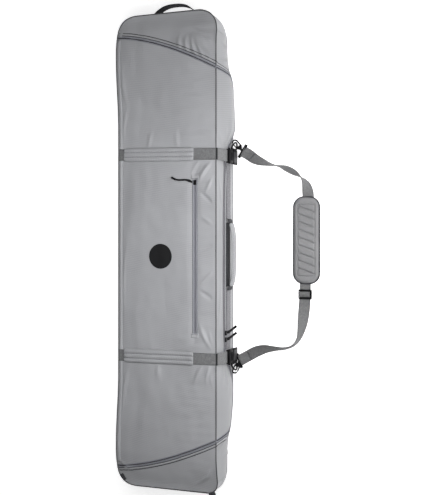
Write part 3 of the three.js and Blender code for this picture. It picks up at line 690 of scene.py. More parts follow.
def make_finishes(colours):
    for build in (make_ripstop, make_belt_weave, make_uneven):
        build()
    rip = {"Thread": 0.0012, "Rip": 0.0062, "Depth": 0.15}
    belt = {"Rib": 0.0030, "Pick": 0.0026, "Depth": 0.34}
    fine_tape = {"Rib": 0.0011, "Pick": 0.0011, "Depth": 0.12}
    coarse_tape = {"Rib": 0.0015, "Pick": 0.0015, "Depth": 0.2}
    pad_mesh = {"Thread": 0.0019, "Rip": 0.0038, "Depth": 0.2}
    rough_belt = (170.0, 0.85)
    surface("shell_cloth", colours.shell, 0.55, "ripstop", rip, 0.00030, (5.0, 0.16), sheen=0.10, gloss=0.5)
    # Painted shade: the side cloth is the shell's own fabric, set darker than the shell to offset the light that
    # the floor and the right softbox throw on the carrying side.
    surface("painted_shade_side_cloth", colours.side, 0.55, "ripstop", rip, 0.00030, (5.0, 0.12), sheen=0.10, gloss=0.5)
    surface("lining_cloth", colours.lining, 0.85, "ripstop", {**rip, "Depth": 0.2}, 0.0003)
    surface("grey_webbing", colours.webbing, 0.78, "belt_weave", belt, 0.0007, rough_belt, sheen=0.1)
    surface("wall_webbing", colours.wall, 0.78, "belt_weave", belt, 0.0007, rough_belt, sheen=0.1)
    surface("wall_tape", colours.wall, 0.75, "belt_weave", coarse_tape, 0.0004)
    surface("strap_webbing", colours.strap, 0.78, "belt_weave", belt, 0.0007, rough_belt, sheen=0.1)
    surface("dark_webbing", colours.dark, 0.8, "belt_weave", belt, 0.0007, rough_belt, gloss=0.2)
    surface("piping_cloth", colours.piping, 0.75, "belt_weave", {**belt, "Rib": 0.0018}, 0.0004, gloss=0.2)
    surface("zipper_tape", colours.tape, 0.75, "belt_weave", fine_tape, 0.0003)
    surface("pad_cloth", colours.pad, 0.8, "ripstop", pad_mesh, 0.0006, (180.0, 0.14), sheen=0.1)
    surface("braid", (0.010, 0.010, 0.011), 0.7, bump=0.0004, uneven=(400.0, 0.9), gloss=0.2)
    surface("grey_thread", colours.thread, 0.7)
    surface("dark_thread", (0.060, 0.061, 0.066), 0.7, gloss=0.2)
    surface("zipper_coil", (0.042, 0.043, 0.050), 0.4)
    surface("pocket_coil", (0.240, 0.240, 0.275), 0.45)
    surface("black_acetal", (0.004, 0.004, 0.005), 0.50, bump=0.00008, uneven=(60.0, 0.3), gloss=0.10)
    surface("charcoal_acetal", (0.034, 0.034, 0.037), 0.46, bump=0.0001, uneven=(60.0, 0.25), gloss=0.25)
    surface("black_zinc", (0.005, 0.005, 0.006), 0.45, bump=0.00005, uneven=(80.0, 0.3),
            metal=0.15, gloss=0.15)
    surface("print_ink", (0.010, 0.010, 0.011), 0.6, "ripstop", rip, 0.0002, gloss=0.15)


# ---- shoulder strap ---------------------------------------------------------------------------------
# Each place holds x, y and the strap's roll in degrees: flat at 0, on its edge at 90.
SHOULDER_ROUTE = (
    (0.217, 0.344, 4), (0.236, 0.333, 10), (0.262, 0.315, 28), (0.290, 0.302, 50), (0.318, 0.293, 74),
    (0.346, 0.287, 92), (0.372, 0.279, 118), (0.396, 0.268, 124), (0.418, 0.256, 108),
    (0.434, 0.241, 84), (0.443, 0.223, 56), (0.447, 0.203, 30), (0.448, 0.180, 6), (0.445, 0.130, 0),
    (0.443, 0.036, 0), (0.439, -0.060, 0), (0.437, -0.112, 0), (0.436, -0.160, 4), (0.433, -0.215, 26),
    (0.428, -0.262, 58), (0.418, -0.297, 80), (0.399, -0.319, 84), (0.370, -0.329, 76),
    (0.336, -0.331, 62), (0.302, -0.334, 40), (0.268, -0.345, 16), (0.238, -0.361, 2), (0.206, -0.379, 0),
)
GROUND_LIFT = 0.0018
PAD_MIDDLE_Y = 0.036  # where the strap passes through its pad
STRAP_THICK = 0.0024
SEWN_BACK = 8  # points of the strap's line under the cloth that is sewn back at each end


def shoulder_line(width):
    """The strap's middle line on the ground, and its width's direction, all the way from hook to hook."""
    line = even_steps(curve_through([(x, y, 0.0, roll) for x, y, roll in SHOULDER_ROUTE], 12), 0.006)
    rolls = np.radians(line[:, 3])
    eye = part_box("upper_strap_eye")
    rest = (eye[0].z + eye[1].z) / 2
    run = np.linspace(0, 1, len(line))
    near_eye = np.maximum(np.clip(1 - run * 22, 0, 1), np.clip(1 - (1 - run) * 22, 0, 1))
    inside_pad = np.exp(-(((line[:, 1] - PAD_MIDDLE_Y) / 0.13) ** 6)) * (line[:, 0] > 0.42)
    height = np.abs(np.sin(rolls)) * width / 2 + GROUND_LIFT
    height = np.maximum(height, near_eye * rest)
    height = height * (1 - inside_pad) + 0.0065 * inside_pad
    middle = np.stack([line[:, 0], line[:, 1], height], axis=1)
    _, side, over = frames_along(middle, (0, 0, 1))
    ups = -side * np.sin(rolls)[:, None] + over * np.cos(rolls)[:, None]
    return middle, ups


def make_shoulder_strap(sizes):
    """The strap's webbing, its edge stitching, and the end that is sewn back at each eye."""
    width = sizes.shoulder_width
    webbing, thread = MATERIALS["strap_webbing"], MATERIALS["dark_thread"]
    middle, ups = shoulder_line(width)
    belt = sweep("shoulder_strap_webbing", middle, band_section(width, STRAP_THICK), [webbing], ups)
    on_body(belt, "tray", "belt", "shoulder_webbing_upper", "shoulder_webbing_lower")
    _, side, over = frames_along(middle, ups)
    edges = [middle + side * k * (width / 2 - 0.002) + over * 0.0013 for k in (-1, 1)]
    seams = stitches("shoulder_strap_stitching", edges, thread, 0.006, thread=(0.004, 0.0011, 0.0005))
    on_body(seams, "tray", "belt")
    trims = [seams]
    for label, part, last, way in (
        ("upper", slice(0, SEWN_BACK), -1, 1), ("lower", slice(-SEWN_BACK, None), 0, -1),
    ):
        line = middle[part] + over[part] * (STRAP_THICK + 0.0002)
        section = band_section(width - 0.001, STRAP_THICK)
        fold = sweep(f"{label}_strap_fold", line, section, [webbing], ups[part])
        bar = np.array([line[last] + side[part][last] * k + over[part][0] * 0.0014
                        for k in spread(-width / 2 + 0.004, width / 2 - 0.004, 12)])
        rows = [bar, bar + (line[3] - line[4]) * 0.5 * way]
        tack = stitches(f"{label}_strap_tack", rows, thread, 0.0022, thread=(0.0020, 0.0016, 0.0008))
        for piece in (fold, tack):
            on_body(piece, "tray", "belt")
            trims.append(piece)
    return belt, middle, trims


def rounded_outline(x, y, width, length, corner, steps=9):
    """A rectangle with round corners, as a closed line in the ground plane."""
    points = []
    for sx, sy, start in ((1, 1, 0), (-1, 1, 90), (-1, -1, 180), (1, -1, 270)):
        cx, cy = x + sx * (width / 2 - corner), y + sy * (length / 2 - corner)
        for a in spread(math.radians(start), math.radians(start + 90), steps):
            points.append((cx + corner * math.cos(a), cy + corner * math.sin(a)))
    return points


def swollen(piece, pressure, cap, frames=14):
    """Blows a closed piece up a little with cloth simulation, and keeps each point within a cap."""
    rest = points_of(piece)
    pump = piece.modifiers.new("pump", "CLOTH")
    pump.settings.use_pressure = True
    pump.settings.uniform_pressure_force = pressure
    pump.settings.effector_weights.gravity = 0
    pump.point_cache.frame_end = frames
    for step in range(1, frames + 1):
        bpy.context.scene.frame_set(step)
    finish_modifiers(piece)
    bpy.context.scene.frame_set(1)
    shift = points_of(piece) - rest
    size = np.linalg.norm(shift, axis=1)
    set_points(piece, rest + shift * np.minimum(1, cap / np.maximum(size, 1e-9))[:, None])


def quilted(points, centre, reach, thick, pitch):
    """The pad's points again: ridges between slanting channels on top, inside a sewn border."""
    dx, dy = points[:, 0] - centre[0], points[:, 1] - centre[1]
    on_top = np.clip((points[:, 2] - thick * 0.5) / (thick * 0.4), 0, 1)
    inside = np.clip((reach[0] - np.abs(dx)) / 0.003, 0, 1) * np.clip((reach[1] - np.abs(dy)) / 0.003, 0, 1)
    phase = ((dy + 0.36 * dx) / pitch) % 1.0
    groove = np.exp(-(((np.minimum(phase, 1 - phase)) * pitch / 0.0026) ** 2))
    border = np.exp(-(((np.maximum(np.abs(dx) - reach[0], np.abs(dy) - reach[1])) / 0.0026) ** 2))
    ridge = np.sin(np.pi * phase) ** 0.7 * inside
    points[:, 2] += on_top * (ridge * 0.0020 - np.maximum(groove * inside * 0.0048, border * 0.0024))
    points[:, 2] = np.clip(points[:, 2], 0.0004, thick + 0.005)
    return points


def make_shoulder_pad(sizes):
    """The quilted pad with its corded rim and the stitching round its panel."""
    low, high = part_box("shoulder_pad")
    x, y = (low.x + high.x) / 2, (low.y + high.y) / 2
    width, length = high.x - low.x, high.y - low.y
    thick = high.z

    def outline(inset, corner):
        return rounded_outline(x, y, width - inset, length - inset, corner)
    rim, inner = outline(0.003, 0.034), outline(0.018, 0.028)
    levels = [(rim, 0.0035), (rim, thick * 0.55), (inner, thick * 0.85)]
    points = [(px, py, z) for ring, z in levels for px, py in ring]
    pad = outward(new_piece("shoulder_pad_body", points, tube_faces(len(levels), len(rim))))
    pad.data.remesh_voxel_size = 0.005
    pick(pad)
    bpy.ops.object.voxel_remesh()
    swollen(pad, 3.0, 0.002)
    finer = pad.modifiers.new("finer", "SUBSURF")
    finer.levels = finer.render_levels = 2
    finish_modifiers(pad)
    panel = (width / 2 - 0.017, length / 2 - 0.026)
    shaped = quilted(points_of(pad), (x, y), panel, thick, sizes.quilt_pitch)
    set_points(pad, shaped)
    pad.data.shade_smooth()
    lay_weave(pad.data, shaped[:, :2])
    pad.data.materials.append(MATERIALS["pad_cloth"])
    on_body(pad, "tray", "pad", "shoulder_pad")
    ring = [(px, py, thick * 0.42) for px, py in outline(0.003, 0.035)]
    binding = closed_cord("shoulder_pad_binding", ring, 0.0027, MATERIALS["dark_webbing"])
    on_body(binding, "tray", "piping")
    seam = [(px, py, thick * 0.80) for px, py in rounded_outline(x, y, 2 * panel[0], 2 * panel[1], 0.006)]
    stitch = stitches("shoulder_pad_stitching", [np.array([*seam, seam[0]])], MATERIALS["dark_thread"])
    on_body(stitch, "tray", "pad")
    return [binding, stitch]


def closed_cord(name, ring, radius, material, sides=10, step=0.004):
    """A round cord along a closed line."""
    ring = even_steps(np.array([*ring, ring[0]], float), step)[:-1]
    along = unit(np.roll(ring, -1, axis=0) - np.roll(ring, 1, axis=0))
    side = unit(np.cross(along, (0, 0, 1)))
    over = np.cross(side, along)
    points, uvs = [], []
    for k, place in enumerate(ring):
        for i, (a, b) in enumerate(disc(radius, sides)):
            points.append(place + side[k] * a + over[k] * b)
            uvs.append((i * radius * 0.63, k * step))
    return outward(new_piece(name, points, loop_faces(len(ring), sides), uvs, [material]))


def make_glide_and_eyes():
    """The tri-glide with its turned bars and its loop of webbing, and the eyes at the strap's ends."""
    acetal = MATERIALS["black_acetal"]
    glide = worked("tri_glide", 0.0011, acetal)
    low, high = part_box("tri_glide")
    middle = (low + high) / 2
    reach = (high.y - low.y) / 2 - 0.0045
    arch = [(middle.x - 0.002, middle.y + reach * t, 0.0030 + 0.0095 * math.cos(t * math.pi / 2) ** 0.7)
            for t in spread(-1, 1, 13)]
    loop = sweep("glide_webbing", arch, band_section(0.0365, BELT), [MATERIALS["strap_webbing"]])
    on_body(loop, "tri_glide", "belt")
    eyes = [worked(f"{end.label}_strap_eye", 0.0016, acetal) for end in ENDS]
    bars = []
    rings = ((0.0, 0.0022), (0.05, 0.0033), (0.95, 0.0033), (1.0, 0.0022))
    half = Vector((0.021, 0, 0))
    for side, y in (("upper", high.y - 0.0026), ("lower", low.y + 0.0026)):
        at = Vector((middle.x, y, middle.z + 0.0012))
        bar = barrel(f"glide_{side}_bar", at - half, at + half, rings, acetal)
        bars.append(on_body(bar, "tri_glide", "black_plastic"))
    return [glide, loop, *bars, *eyes]


# ---- shell ------------------------------------------------------------------------------------------
ZIP_CLEAR = 0.0024  # from the zipper's line to the cloth on either side


def front_patch(low_line, high_line, rows):
    """A grid over the front between two lines that cross it."""
    def place(t, x):
        low = low_line(x)
        y = mix(low, max(high_line(x), low + 0.0004), t)
        return (lean(x, y), y, front_z(x, y)), (x, y)
    return grid_of(spread(0, 1, rows), columns(), place)


def rim_point(end, index, z):
    """A place on an end's wall: index runs across the bag, from the hinge side to the carrying side."""
    xs = columns()
    x = xs[index]
    a, b = xs[max(index - 1, 0)], xs[min(index + 1, COLUMNS - 1)]
    step = Vector((b - a, end_limit(b, end.sign) - end_limit(a, end.sign), 0))
    out = Vector((-step.y, step.x, 0)).normalized()
    puff = 0.003 * bow(z) * (1 - (x / HALF_W) ** 4)
    soft = 0.0016 * noise.noise(Vector((x * 16, z * 22, end.sign * 4))) * bow(z)
    shift = out * (puff + soft - BACK_TUCK * drawn_in(z))
    y = end_limit(x, end.sign) + shift.y
    return (lean(x, y) + shift.x, end.sign * y, settle(y, z))


def wall_patch(places, rows, point):
    """A grid of upright columns: each place gives what point reads, the run along, its foot and its head."""
    def place(t, column):
        spot, run, low, high = column
        z = mix(low, high, t)
        return point(spot, z), (z, run)
    return grid_of(spread(0, 1, rows), places, place)


def make_tray():
    """The still half: the side and end walls, the caps beyond the zipper, the back and the inner ties."""
    shell, side, lining = (MATERIALS[k] for k in ("shell_cloth", "painted_shade_side_cloth", "lining_cloth"))

    def sewn(piece, slot, panel):
        on_body(piece, "tray", slot, panel)

    edge = beside(WALL_LINE, -ZIP_CLEAR)
    edge[:, 1] = np.minimum(edge[:, 1], DEPTH)
    before = [(y, DEPTH) for y in spread(CORNER_RIGHT[-1] - HALF_L, edge[0][0] - 0.001, 30)]
    after = [(y, DEPTH) for y in spread(edge[-1][0] + 0.001, HALF_L - CORNER_RIGHT[1], 34)]
    places = [(y, y, 0.0, z) for y, z in [*before, *edge, *after]]
    right = wall_patch(places, 26, lambda y, z: (wall_x(y, z), y, settle(y, z)))
    sewn(cloth("right_gusset_cloth", *right, [side, lining]), "shell_light", "right_gusset")

    places = [(y, y, 0.0, DEPTH) for y in spread(HALF_L - CORNER_LEFT, CORNER_LEFT - HALF_L, 220)]
    left = wall_patch(places, 20, lambda y, z: (left_x(y, z), y, settle(y, z)))
    sewn(cloth("left_gusset_cloth", *left, [shell, lining]), "shell", "left_gusset")

    for end in ENDS:
        run = run_along(np.array([rim_point(end, i, DEPTH) for i in range(COLUMNS)]))
        order = range(COLUMNS)[::-end.sign]
        places = [(i, run[i], 0.0, DEPTH) for i in order]
        wall = wall_patch(places, 22, lambda i, z, e=end: rim_point(e, i, z))
        sewn(cloth(f"{end.place}_end_cloth", *wall, [shell, lining]), "shell", f"{end.place}_end_panel")

    for end in ENDS:
        def seam(x, e=end):
            return diagonal(e, x) + e.sign * ZIP_CLEAR

        def rim(x, e=end):
            return e.sign * end_limit(x, e.sign)
        if end is TOP:
            cap = front_patch(seam, rim, 46)
        else:
            cap = front_patch(rim, seam, 46)
        sewn(cloth(f"{end.place}_cap_cloth", *cap, [shell, lining]), "shell", f"{end.place}_cap_front")

    def on_back(t, x):
        y = mix(BACK_TUCK - end_limit(x, -1), end_limit(x, 1) - BACK_TUCK, t)
        share = (x + HALF_W) / (2 * HALF_W)
        return (mix(left_x(y, 0), wall_x(y, 0), share), y, 0.0), (x, y)
    back = grid_of(spread(0, 1, 60), columns(60), on_back)
    sewn(cloth("back_cloth", *back, [lining, lining], 0.005, flip=True), "lining", "back_panel")

    for end in ENDS:
        low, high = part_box(f"inner_tie_{end.place}")
        y, z = (low.y + high.y) / 2, (low.z + high.z) / 2 + 0.001
        line = [(x, y, z + 0.002 * math.sin(x * 30) ** 2) for x in spread(low.x, high.x, 60)]
        section = band_section(0.038, 0.002)
        tie = sweep(f"inner_tie_{end.place}_webbing", line, section, [MATERIALS["dark_webbing"]])
        on_body(tie, "tray", "dark_belt", f"inner_tie_{end.place}")


def make_lid():
    """The opening half: the front between the two zipper lines, and the strip above the wall's zipper."""
    shell, side, lining = (MATERIALS[k] for k in ("shell_cloth", "painted_shade_side_cloth", "lining_cloth"))

    def low(x):
        return max(diagonal(BOTTOM, x) + ZIP_CLEAR, 0.0005 - end_limit(x, -1))

    def high(x):
        return min(diagonal(TOP, x) - ZIP_CLEAR, end_limit(x, 1) - 0.0005)
    edge = beside(WALL_LINE, ZIP_CLEAR)
    edge[:, 1] = np.minimum(edge[:, 1], DEPTH - 0.0002)
    strip = wall_patch([(y, y, z, DEPTH) for y, z in edge], 16, lambda y, z: (wall_x(y, z), y, z))
    for name, patch, outer, slot, panel in (
        ("front_cloth", front_patch(low, high, 330), shell, "shell", "front_panel"),
        ("lid_side_cloth", strip, side, "shell_light", "lid_side_strip"),
    ):
        piece = cloth(name, *patch, [outer, lining])
        on_body(piece, "lid", slot, panel)


def make_piping(radius):
    """Corded piping along the front's seams and round the back edge."""
    cord = MATERIALS["piping_cloth"]
    x, lift = HALF_W + 0.0012, 0.0010
    line = [(x, y, DEPTH + lift) for y in spread(0.004 - BOTTOM.seam, TOP.seam - 0.004, 260)]
    on_body(sweep("front_seam_piping", line, disc(radius), [cord]), "lid", "piping", "front_piping")
    for end in ENDS:
        corner = HALF_L - CORNER_RIGHT[end.sign]
        straight = [(x, end.sign * y, settle(y, DEPTH) + lift) for y in spread(end.seam + 0.004, corner, 30)]
        rim = [rim_point(end, i, DEPTH) for i in range(COLUMNS - 2, -1, -1)]
        line = even_steps([*straight, *((px, py + end.sign * 0.001, pz + lift) for px, py, pz in rim)], 0.005)
        piece = sweep(f"{end.place}_seam_piping", line, disc(radius), [cord])
        on_body(piece, "tray", "piping", f"{end.place}_end_piping")
    left = [(lean(-HALF_W, y) - 0.0012, y, settle(y, DEPTH) + lift * 0.4)
            for y in spread(CORNER_LEFT - HALF_L, HALF_L - CORNER_LEFT, 300)]
    on_body(sweep("hinge_seam_piping", left, disc(radius * 0.9), [cord]), "tray", "piping")
    level = radius + 0.004
    ring = [(wall_x(y, level) + 0.001, y, level)
            for y in spread(CORNER_RIGHT[-1] - HALF_L, HALF_L - CORNER_RIGHT[1], 200)]
    ring += [rim_point(TOP, i, level) for i in range(COLUMNS - 2, 0, -1)]
    ring += [(left_x(y, level) - 0.001, y, level)
             for y in spread(HALF_L - CORNER_LEFT, CORNER_LEFT - HALF_L, 200)]
    ring += [rim_point(BOTTOM, i, level) for i in range(1, COLUMNS - 1)]
    on_body(closed_cord("back_seam_piping", ring, radius, MATERIALS["painted_shade_side_cloth"], 8), "tray", "shell_light")


def make_hinge_fold():
    """The cloth along the left front edge, where the lid opens."""
    reach = HALF_L - CORNER_LEFT - 0.004
    profile = ((-0.0002, -0.016), (-0.0008, -0.008), (-0.0006, -0.002), (0.0012, 0.0006), (0.006, 0.0012),
               (0.014, 0.0012))

    def place(step, y):
        t, (dx, dz) = step
        level = front_z(0.014 - HALF_W, y) if dx > 0.01 else settle(y, DEPTH)
        return (lean(-HALF_W, y) + dx, y, level + dz), (t * 0.006, y)
    sheet = grid_of(enumerate(profile), spread(reach, -reach, 180), place)
    fold = cloth("hinge_fold_cloth", *sheet, [MATERIALS["shell_cloth"]], 0.0012)
    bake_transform(fold)


# ---- zippers ----------------------------------------------------------------------------------------
COIL_PITCH = 0.0024


def zip_chain():
    """The main zipper's whole line, from end to end: its places, and the way out of the cloth at each."""
    fronts = []
    for end in (BOTTOM, TOP):
        ys = [(x, diagonal(end, x)) for x in spread(0.004 - HALF_W, HALF_W, 90)]
        fronts.append([(lean(x, y), y, front_z(x, y)) for x, y in ys])
    wall = [(wall_x(y, z), y, z) for y, z in WALL_LINE[1:-1]]
    up, right = [(0, 0, 1)] * len(fronts[0]), [(1, 0, 0)] * len(wall)
    return np.array([*fronts[0], *wall, *fronts[1][::-1]]), np.array([*up, *right, *up], float)


def on_surface(point, out):
    """The same place again, on the cloth."""
    x, y, z = point
    if out[2] > 0.5:
        return np.array((x, y, front_z(max(min(x, HALF_W), -HALF_W), y)))
    return np.array((wall_x(y, min(z, DEPTH)), y, min(z, DEPTH + 0.001)))


def zip_band(name, near, far, lift, material, body, slot, *nodes, steps=5, welt=0.0):
    """A strip of tape beside the main zipper's line, from one distance to another; the lid is at minus."""
    places, outs = zip_chain()
    across = np.cross(unit(np.gradient(places, axis=0)), outs)

    def place(t, spot):
        at, out, side, run = spot
        distance = mix(near, far, t)
        ridge = lift + welt * math.sin(math.pi * t) ** 2
        return on_surface(at + side * distance, out) + out * ridge, (distance, run)
    strip = grid_of(spread(0, 1, steps), list(zip(places, outs, across, run_along(places))), place)
    piece = cloth(name, *strip, [material, MATERIALS["wall_tape"]], 0.0012, flip=near < far)
    for face in piece.data.polygons:
        between_straps = face.center.x > HALF_W and abs(face.center.y) < TOP.strap
        face.material_index = int(material is MATERIALS["zipper_tape"] and between_straps)
    return on_body(piece, body, slot, *nodes)


def zip_teeth(name, line, outs, offset, material, body, slot):
    """One half of a zipper's coil: a bead for each turn, square to the line."""
    even = even_steps(np.concatenate([np.array(line), np.array(outs)], axis=1), COIL_PITCH)
    places, out = even[:, :3], unit(even[:, 3:])
    along = unit(np.gradient(places, axis=0))
    across = np.cross(along, out)
    centre = places + across * offset + out * 0.0014 + along * math.copysign(COIL_PITCH / 4, offset)
    beads = rows_of(name, centre, (across, out), (0.0030, 0.0017, 0.0011), material)
    return on_body(beads, body, slot)


def make_main_zipper():
    """The main zipper's tapes, seams and coils, on the tray's side and on the lid's."""
    tape, coil = MATERIALS["zipper_tape"], MATERIALS["zipper_coil"]
    zip_band("tray_tape_inner", 0.0006, 0.0082, 0.0009, tape, "tray", "tape", "tray_zipper_tape", welt=0.0010)
    zip_band("tray_tape_outer", 0.0096, 0.0168, 0.0007, MATERIALS["shell_cloth"], "tray", "tape", welt=0.0014)
    zip_band("lid_tape", -0.0006, -0.0050, 0.0009, tape, "lid", "tape", "lid_zipper_tape", welt=0.0012)
    for label, near in (("inner", 0.0082), ("outer", 0.0168)):
        thread = MATERIALS["dark_thread"]
        zip_band(f"tray_seam_{label}", near, near + 0.0021, 0.0011, thread, "tray", "tape", steps=3)
    zip_band("zipper_garage", -0.0014, 0.0014, 0.0003, coil, "tray", "tape", steps=3)
    places, outs = zip_chain()
    zip_teeth("tray_coil", places, outs, 0.0009, coil, "tray", "tape")
    zip_teeth("lid_coil", places, outs, -0.0009, coil, "lid", "tape")


def braid(name, line, radius, material, turns_per_m=110, lobes=4, sides=16, step=0.0009):
    """A round braided cord: lobes that wind round its line, with a knot near its start."""
    line = even_steps(curve_through(line, 12), step)
    _, side, over = frames_along(line, (0.01, 0.02, 1))
    points = []
    for k, place in enumerate(line):
        taper = min(1.0, (k + 1) / 4, (len(line) - k) / 4) ** 0.5
        taper *= 1 + 0.40 * math.exp(-((k / len(line) - 0.20) / 0.09) ** 2)  # the knot beside the slider
        twist = 2 * math.pi * turns_per_m * step * k
        for i in range(sides):
            a = 2 * math.pi * i / sides
            r = radius * (1 + 0.12 * math.cos(lobes * a + twist) * math.cos(lobes * a - twist)) * taper
            points.append(place + side[k] * r * math.cos(a) + over[k] * r * math.sin(a))
    return outward(new_piece(name, points, tube_faces(len(line), sides), materials=[material]))


def bridge(name, centre, along, out, size, material):
    """The wire bridge on a slider that its pull hangs from: an arch from front to back."""
    along, out = Vector(along), Vector(out)
    length, height, radius = size
    arch = [centre + along * (length / 2 * math.cos(a)) + out * (height * math.sin(a))
            for a in spread(0, math.pi, 17)]
    return sweep(name, arch, disc(radius, 8), [material], along.cross(out))


def make_sliders():
    """The main zipper's two sliders, each with its bridge, braided pull and grip."""
    zinc = MATERIALS["black_zinc"]
    for label in ("upper", "lower"):
        worked(f"{label}_slider", 0.0012, zinc)
        low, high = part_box(f"{label}_slider")
        centre = (low + high) / 2
        top = Vector((high.x - 0.0006, centre.y, centre.z))
        arch = bridge(f"{label}_slider_bridge", top, (0, 1, 0), (1, 0, 0), (0.010, 0.0034, 0.0009), zinc)
        on_body(arch, f"{label}_slider", "black_plastic")
        p0, p1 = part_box(f"{label}_pull")
        start = Vector((p0.x + 0.0012, p0.y + 0.002, p1.z - 0.002))
        finish = Vector((p1.x - 0.002, p1.y - 0.0016, p0.z + 0.002))
        line = [tuple(start.lerp(finish, t) + Vector((0, 0, -0.004 * math.sin(math.pi * t))))
                for t in spread(0, 0.72, 6)]
        pull = braid(f"{label}_pull_cord", line, 0.0039, MATERIALS["braid"])
        on_body(pull, f"{label}_pull", "cord", f"{label}_pull")
        neck = start.lerp(finish, 0.70) + Vector((0, 0, -0.0028))
        grip = cord_grip(f"{label}_pull_grip", neck, finish, 0.0046)
        on_body(grip, f"{label}_pull", "black_plastic")


def cord_grip(name, start, finish, radius):
    """A moulded grip on a cord's end: a waisted round bar."""
    bpy.ops.mesh.primitive_cylinder_add(vertices=20, radius=radius, depth=(finish - start).length)
    piece = bpy.context.object
    piece.name = name
    bpy.ops.object.mode_set(mode="EDIT")
    made = bmesh.from_edit_mesh(piece.data)
    bisect(made, 0)
    for vert in made.verts:
        if abs(vert.co.z) < 1e-5:
            vert.co.x *= 0.82
            vert.co.y *= 0.82
    bmesh.update_edit_mesh(piece.data)
    bpy.ops.object.mode_set(mode="OBJECT")
    soften(piece, radius * 0.35, 3, 40)
    stand_between(piece, start, finish)
    piece.data.materials.append(MATERIALS["black_acetal"])
    return piece


def front_line(x0, y0, x1, y1, count, lift):
    """A line laid over the front."""
    return [(mix(x0, x1, t), mix(y0, y1, t), front_z(mix(x0, x1, t), mix(y0, y1, t)) + lift)
            for t in spread(0, 1, count)]


def front_strip(name, x0, x1, y0, y1, lift, material, rows=120, steps=6, welt=0.0, thick=0.0010):
    """A strip of cloth laid over the front, along the bag."""
    def place(t, y):
        x = mix(x0, x1, t)
        return (x, y, front_z(x, y) + lift + welt * math.sin(math.pi * t)), (x, y)
    return cloth(name, *grid_of(spread(0, 1, steps), spread(y1, y0, rows), place), [material], thick)


def make_pocket():
    """The pocket's zipper: tapes, coil, end patches, and the slider with its pull."""
    low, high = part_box("pocket_zipper_tape")
    x = POCKET_X
    tape, coil, shell = (MATERIALS[k] for k in ("zipper_tape", "pocket_coil", "shell_cloth"))
    zinc, thread, cord = (MATERIALS[k] for k in ("black_zinc", "dark_thread", "braid"))
    for label, side in (("left", -1), ("right", 1)):
        a, b = sorted((x + side * 0.0020, x + side * 0.0098))
        piece = front_strip(f"pocket_tape_{label}", a, b, low.y, high.y, 0.0011, tape, welt=0.0006)
        on_body(piece, "lid", "tape", *(("pocket_zipper_tape",) if side < 0 else ()))
        line = front_line(x + side * 0.0084, low.y + 0.003, x + side * 0.0084, high.y - 0.003, 200, 0.0014)
        on_body(stitches(f"pocket_seam_{label}", [np.array(line)], thread), "lid", "tape")
    bed = front_strip("pocket_coil_bed", x - 0.0022, x + 0.0022, low.y, high.y, 0.0005, coil, steps=3)
    on_body(bed, "lid", "tape")
    line = np.array(front_line(x, low.y + 0.004, x, high.y - 0.010, 300, 0.0002))
    outs = np.tile((0.0, 0.0, 1.0), (len(line), 1))
    for label, side in (("left", 1), ("right", -1)):
        zip_teeth(f"pocket_coil_{label}", line, outs, side * 0.0009, coil, "lid", "tape")
    for label, y0, y1, y in (("top", high.y - 0.006, high.y + 0.010, high.y - 0.003),
                             ("bottom", low.y - 0.010, low.y + 0.004, low.y + 0.001)):
        patch = front_strip(
            f"pocket_{label}_patch", x - 0.0125, x + 0.0125, y0, y1, 0.0018, shell, 8, 8, 0.0006)
        on_body(patch, "lid", "shell")
        bar = np.array(front_line(x - 0.011, y, x + 0.011, y, 20, 0.0026))
        on_body(stitches(f"pocket_{label}_tack", [bar], thread, 0.0030), "lid", "tape")

    worked("pocket_slider", 0.0012, zinc)
    s0, s1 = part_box("pocket_slider")
    top = Vector(((s0.x + s1.x) / 2, (s0.y + s1.y) / 2, s1.z - 0.0004))
    arch = bridge("pocket_slider_bridge", top, (0, 1, 0), (0, 0, 1), (0.010, 0.0032, 0.0009), zinc)
    on_body(arch, "pocket_slider", "black_plastic")
    p0, p1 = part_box("pocket_pull")
    start = Vector((p1.x - 0.0008, p0.y + 0.0024, (p0.z + p1.z) / 2 + 0.0014))
    finish = Vector((p0.x + 0.002, p1.y - 0.0024, start.z))
    line = [start.lerp(finish, t) + Vector((0, 0.0035 * math.sin(2 * math.pi * t), 0))
            for t in spread(0, 0.8, 9)]
    line = [(p.x, p.y, max(p.z, front_z(p.x, p.y) + 0.0030)) for p in line]
    on_body(braid("pocket_pull_cord", line, 0.0030, cord), "pocket_pull", "cord", "pocket_pull")
    tip = Vector((finish.x, finish.y, front_z(finish.x, finish.y) + 0.0036))
    on_body(cord_grip("pocket_pull_grip", Vector(line[-1]), tip, 0.0038), "pocket_pull", "black_plastic")


# ---- compression straps and buckles -----------------------------------------------------------------
SLEEVE_WIDTH, SLEEVE_THICK = 0.047, 0.0068


def sleeve_section(width, thick):
    """The padded sleeve's section: flat below, with sewn channels between its ridges above."""
    half = width / 2
    top = []
    for s in spread(-1, 1, 37):
        swell_up = thick * (1 - abs(s) ** 6) ** 0.5
        ridge = abs(math.cos(math.pi * 3 / 2 * s))
        top.append((s * half, swell_up * (0.45 + 0.55 * ridge ** 0.5)))
    return top + [(half * 0.6, -0.0002), (-half * 0.6, -0.0002)]


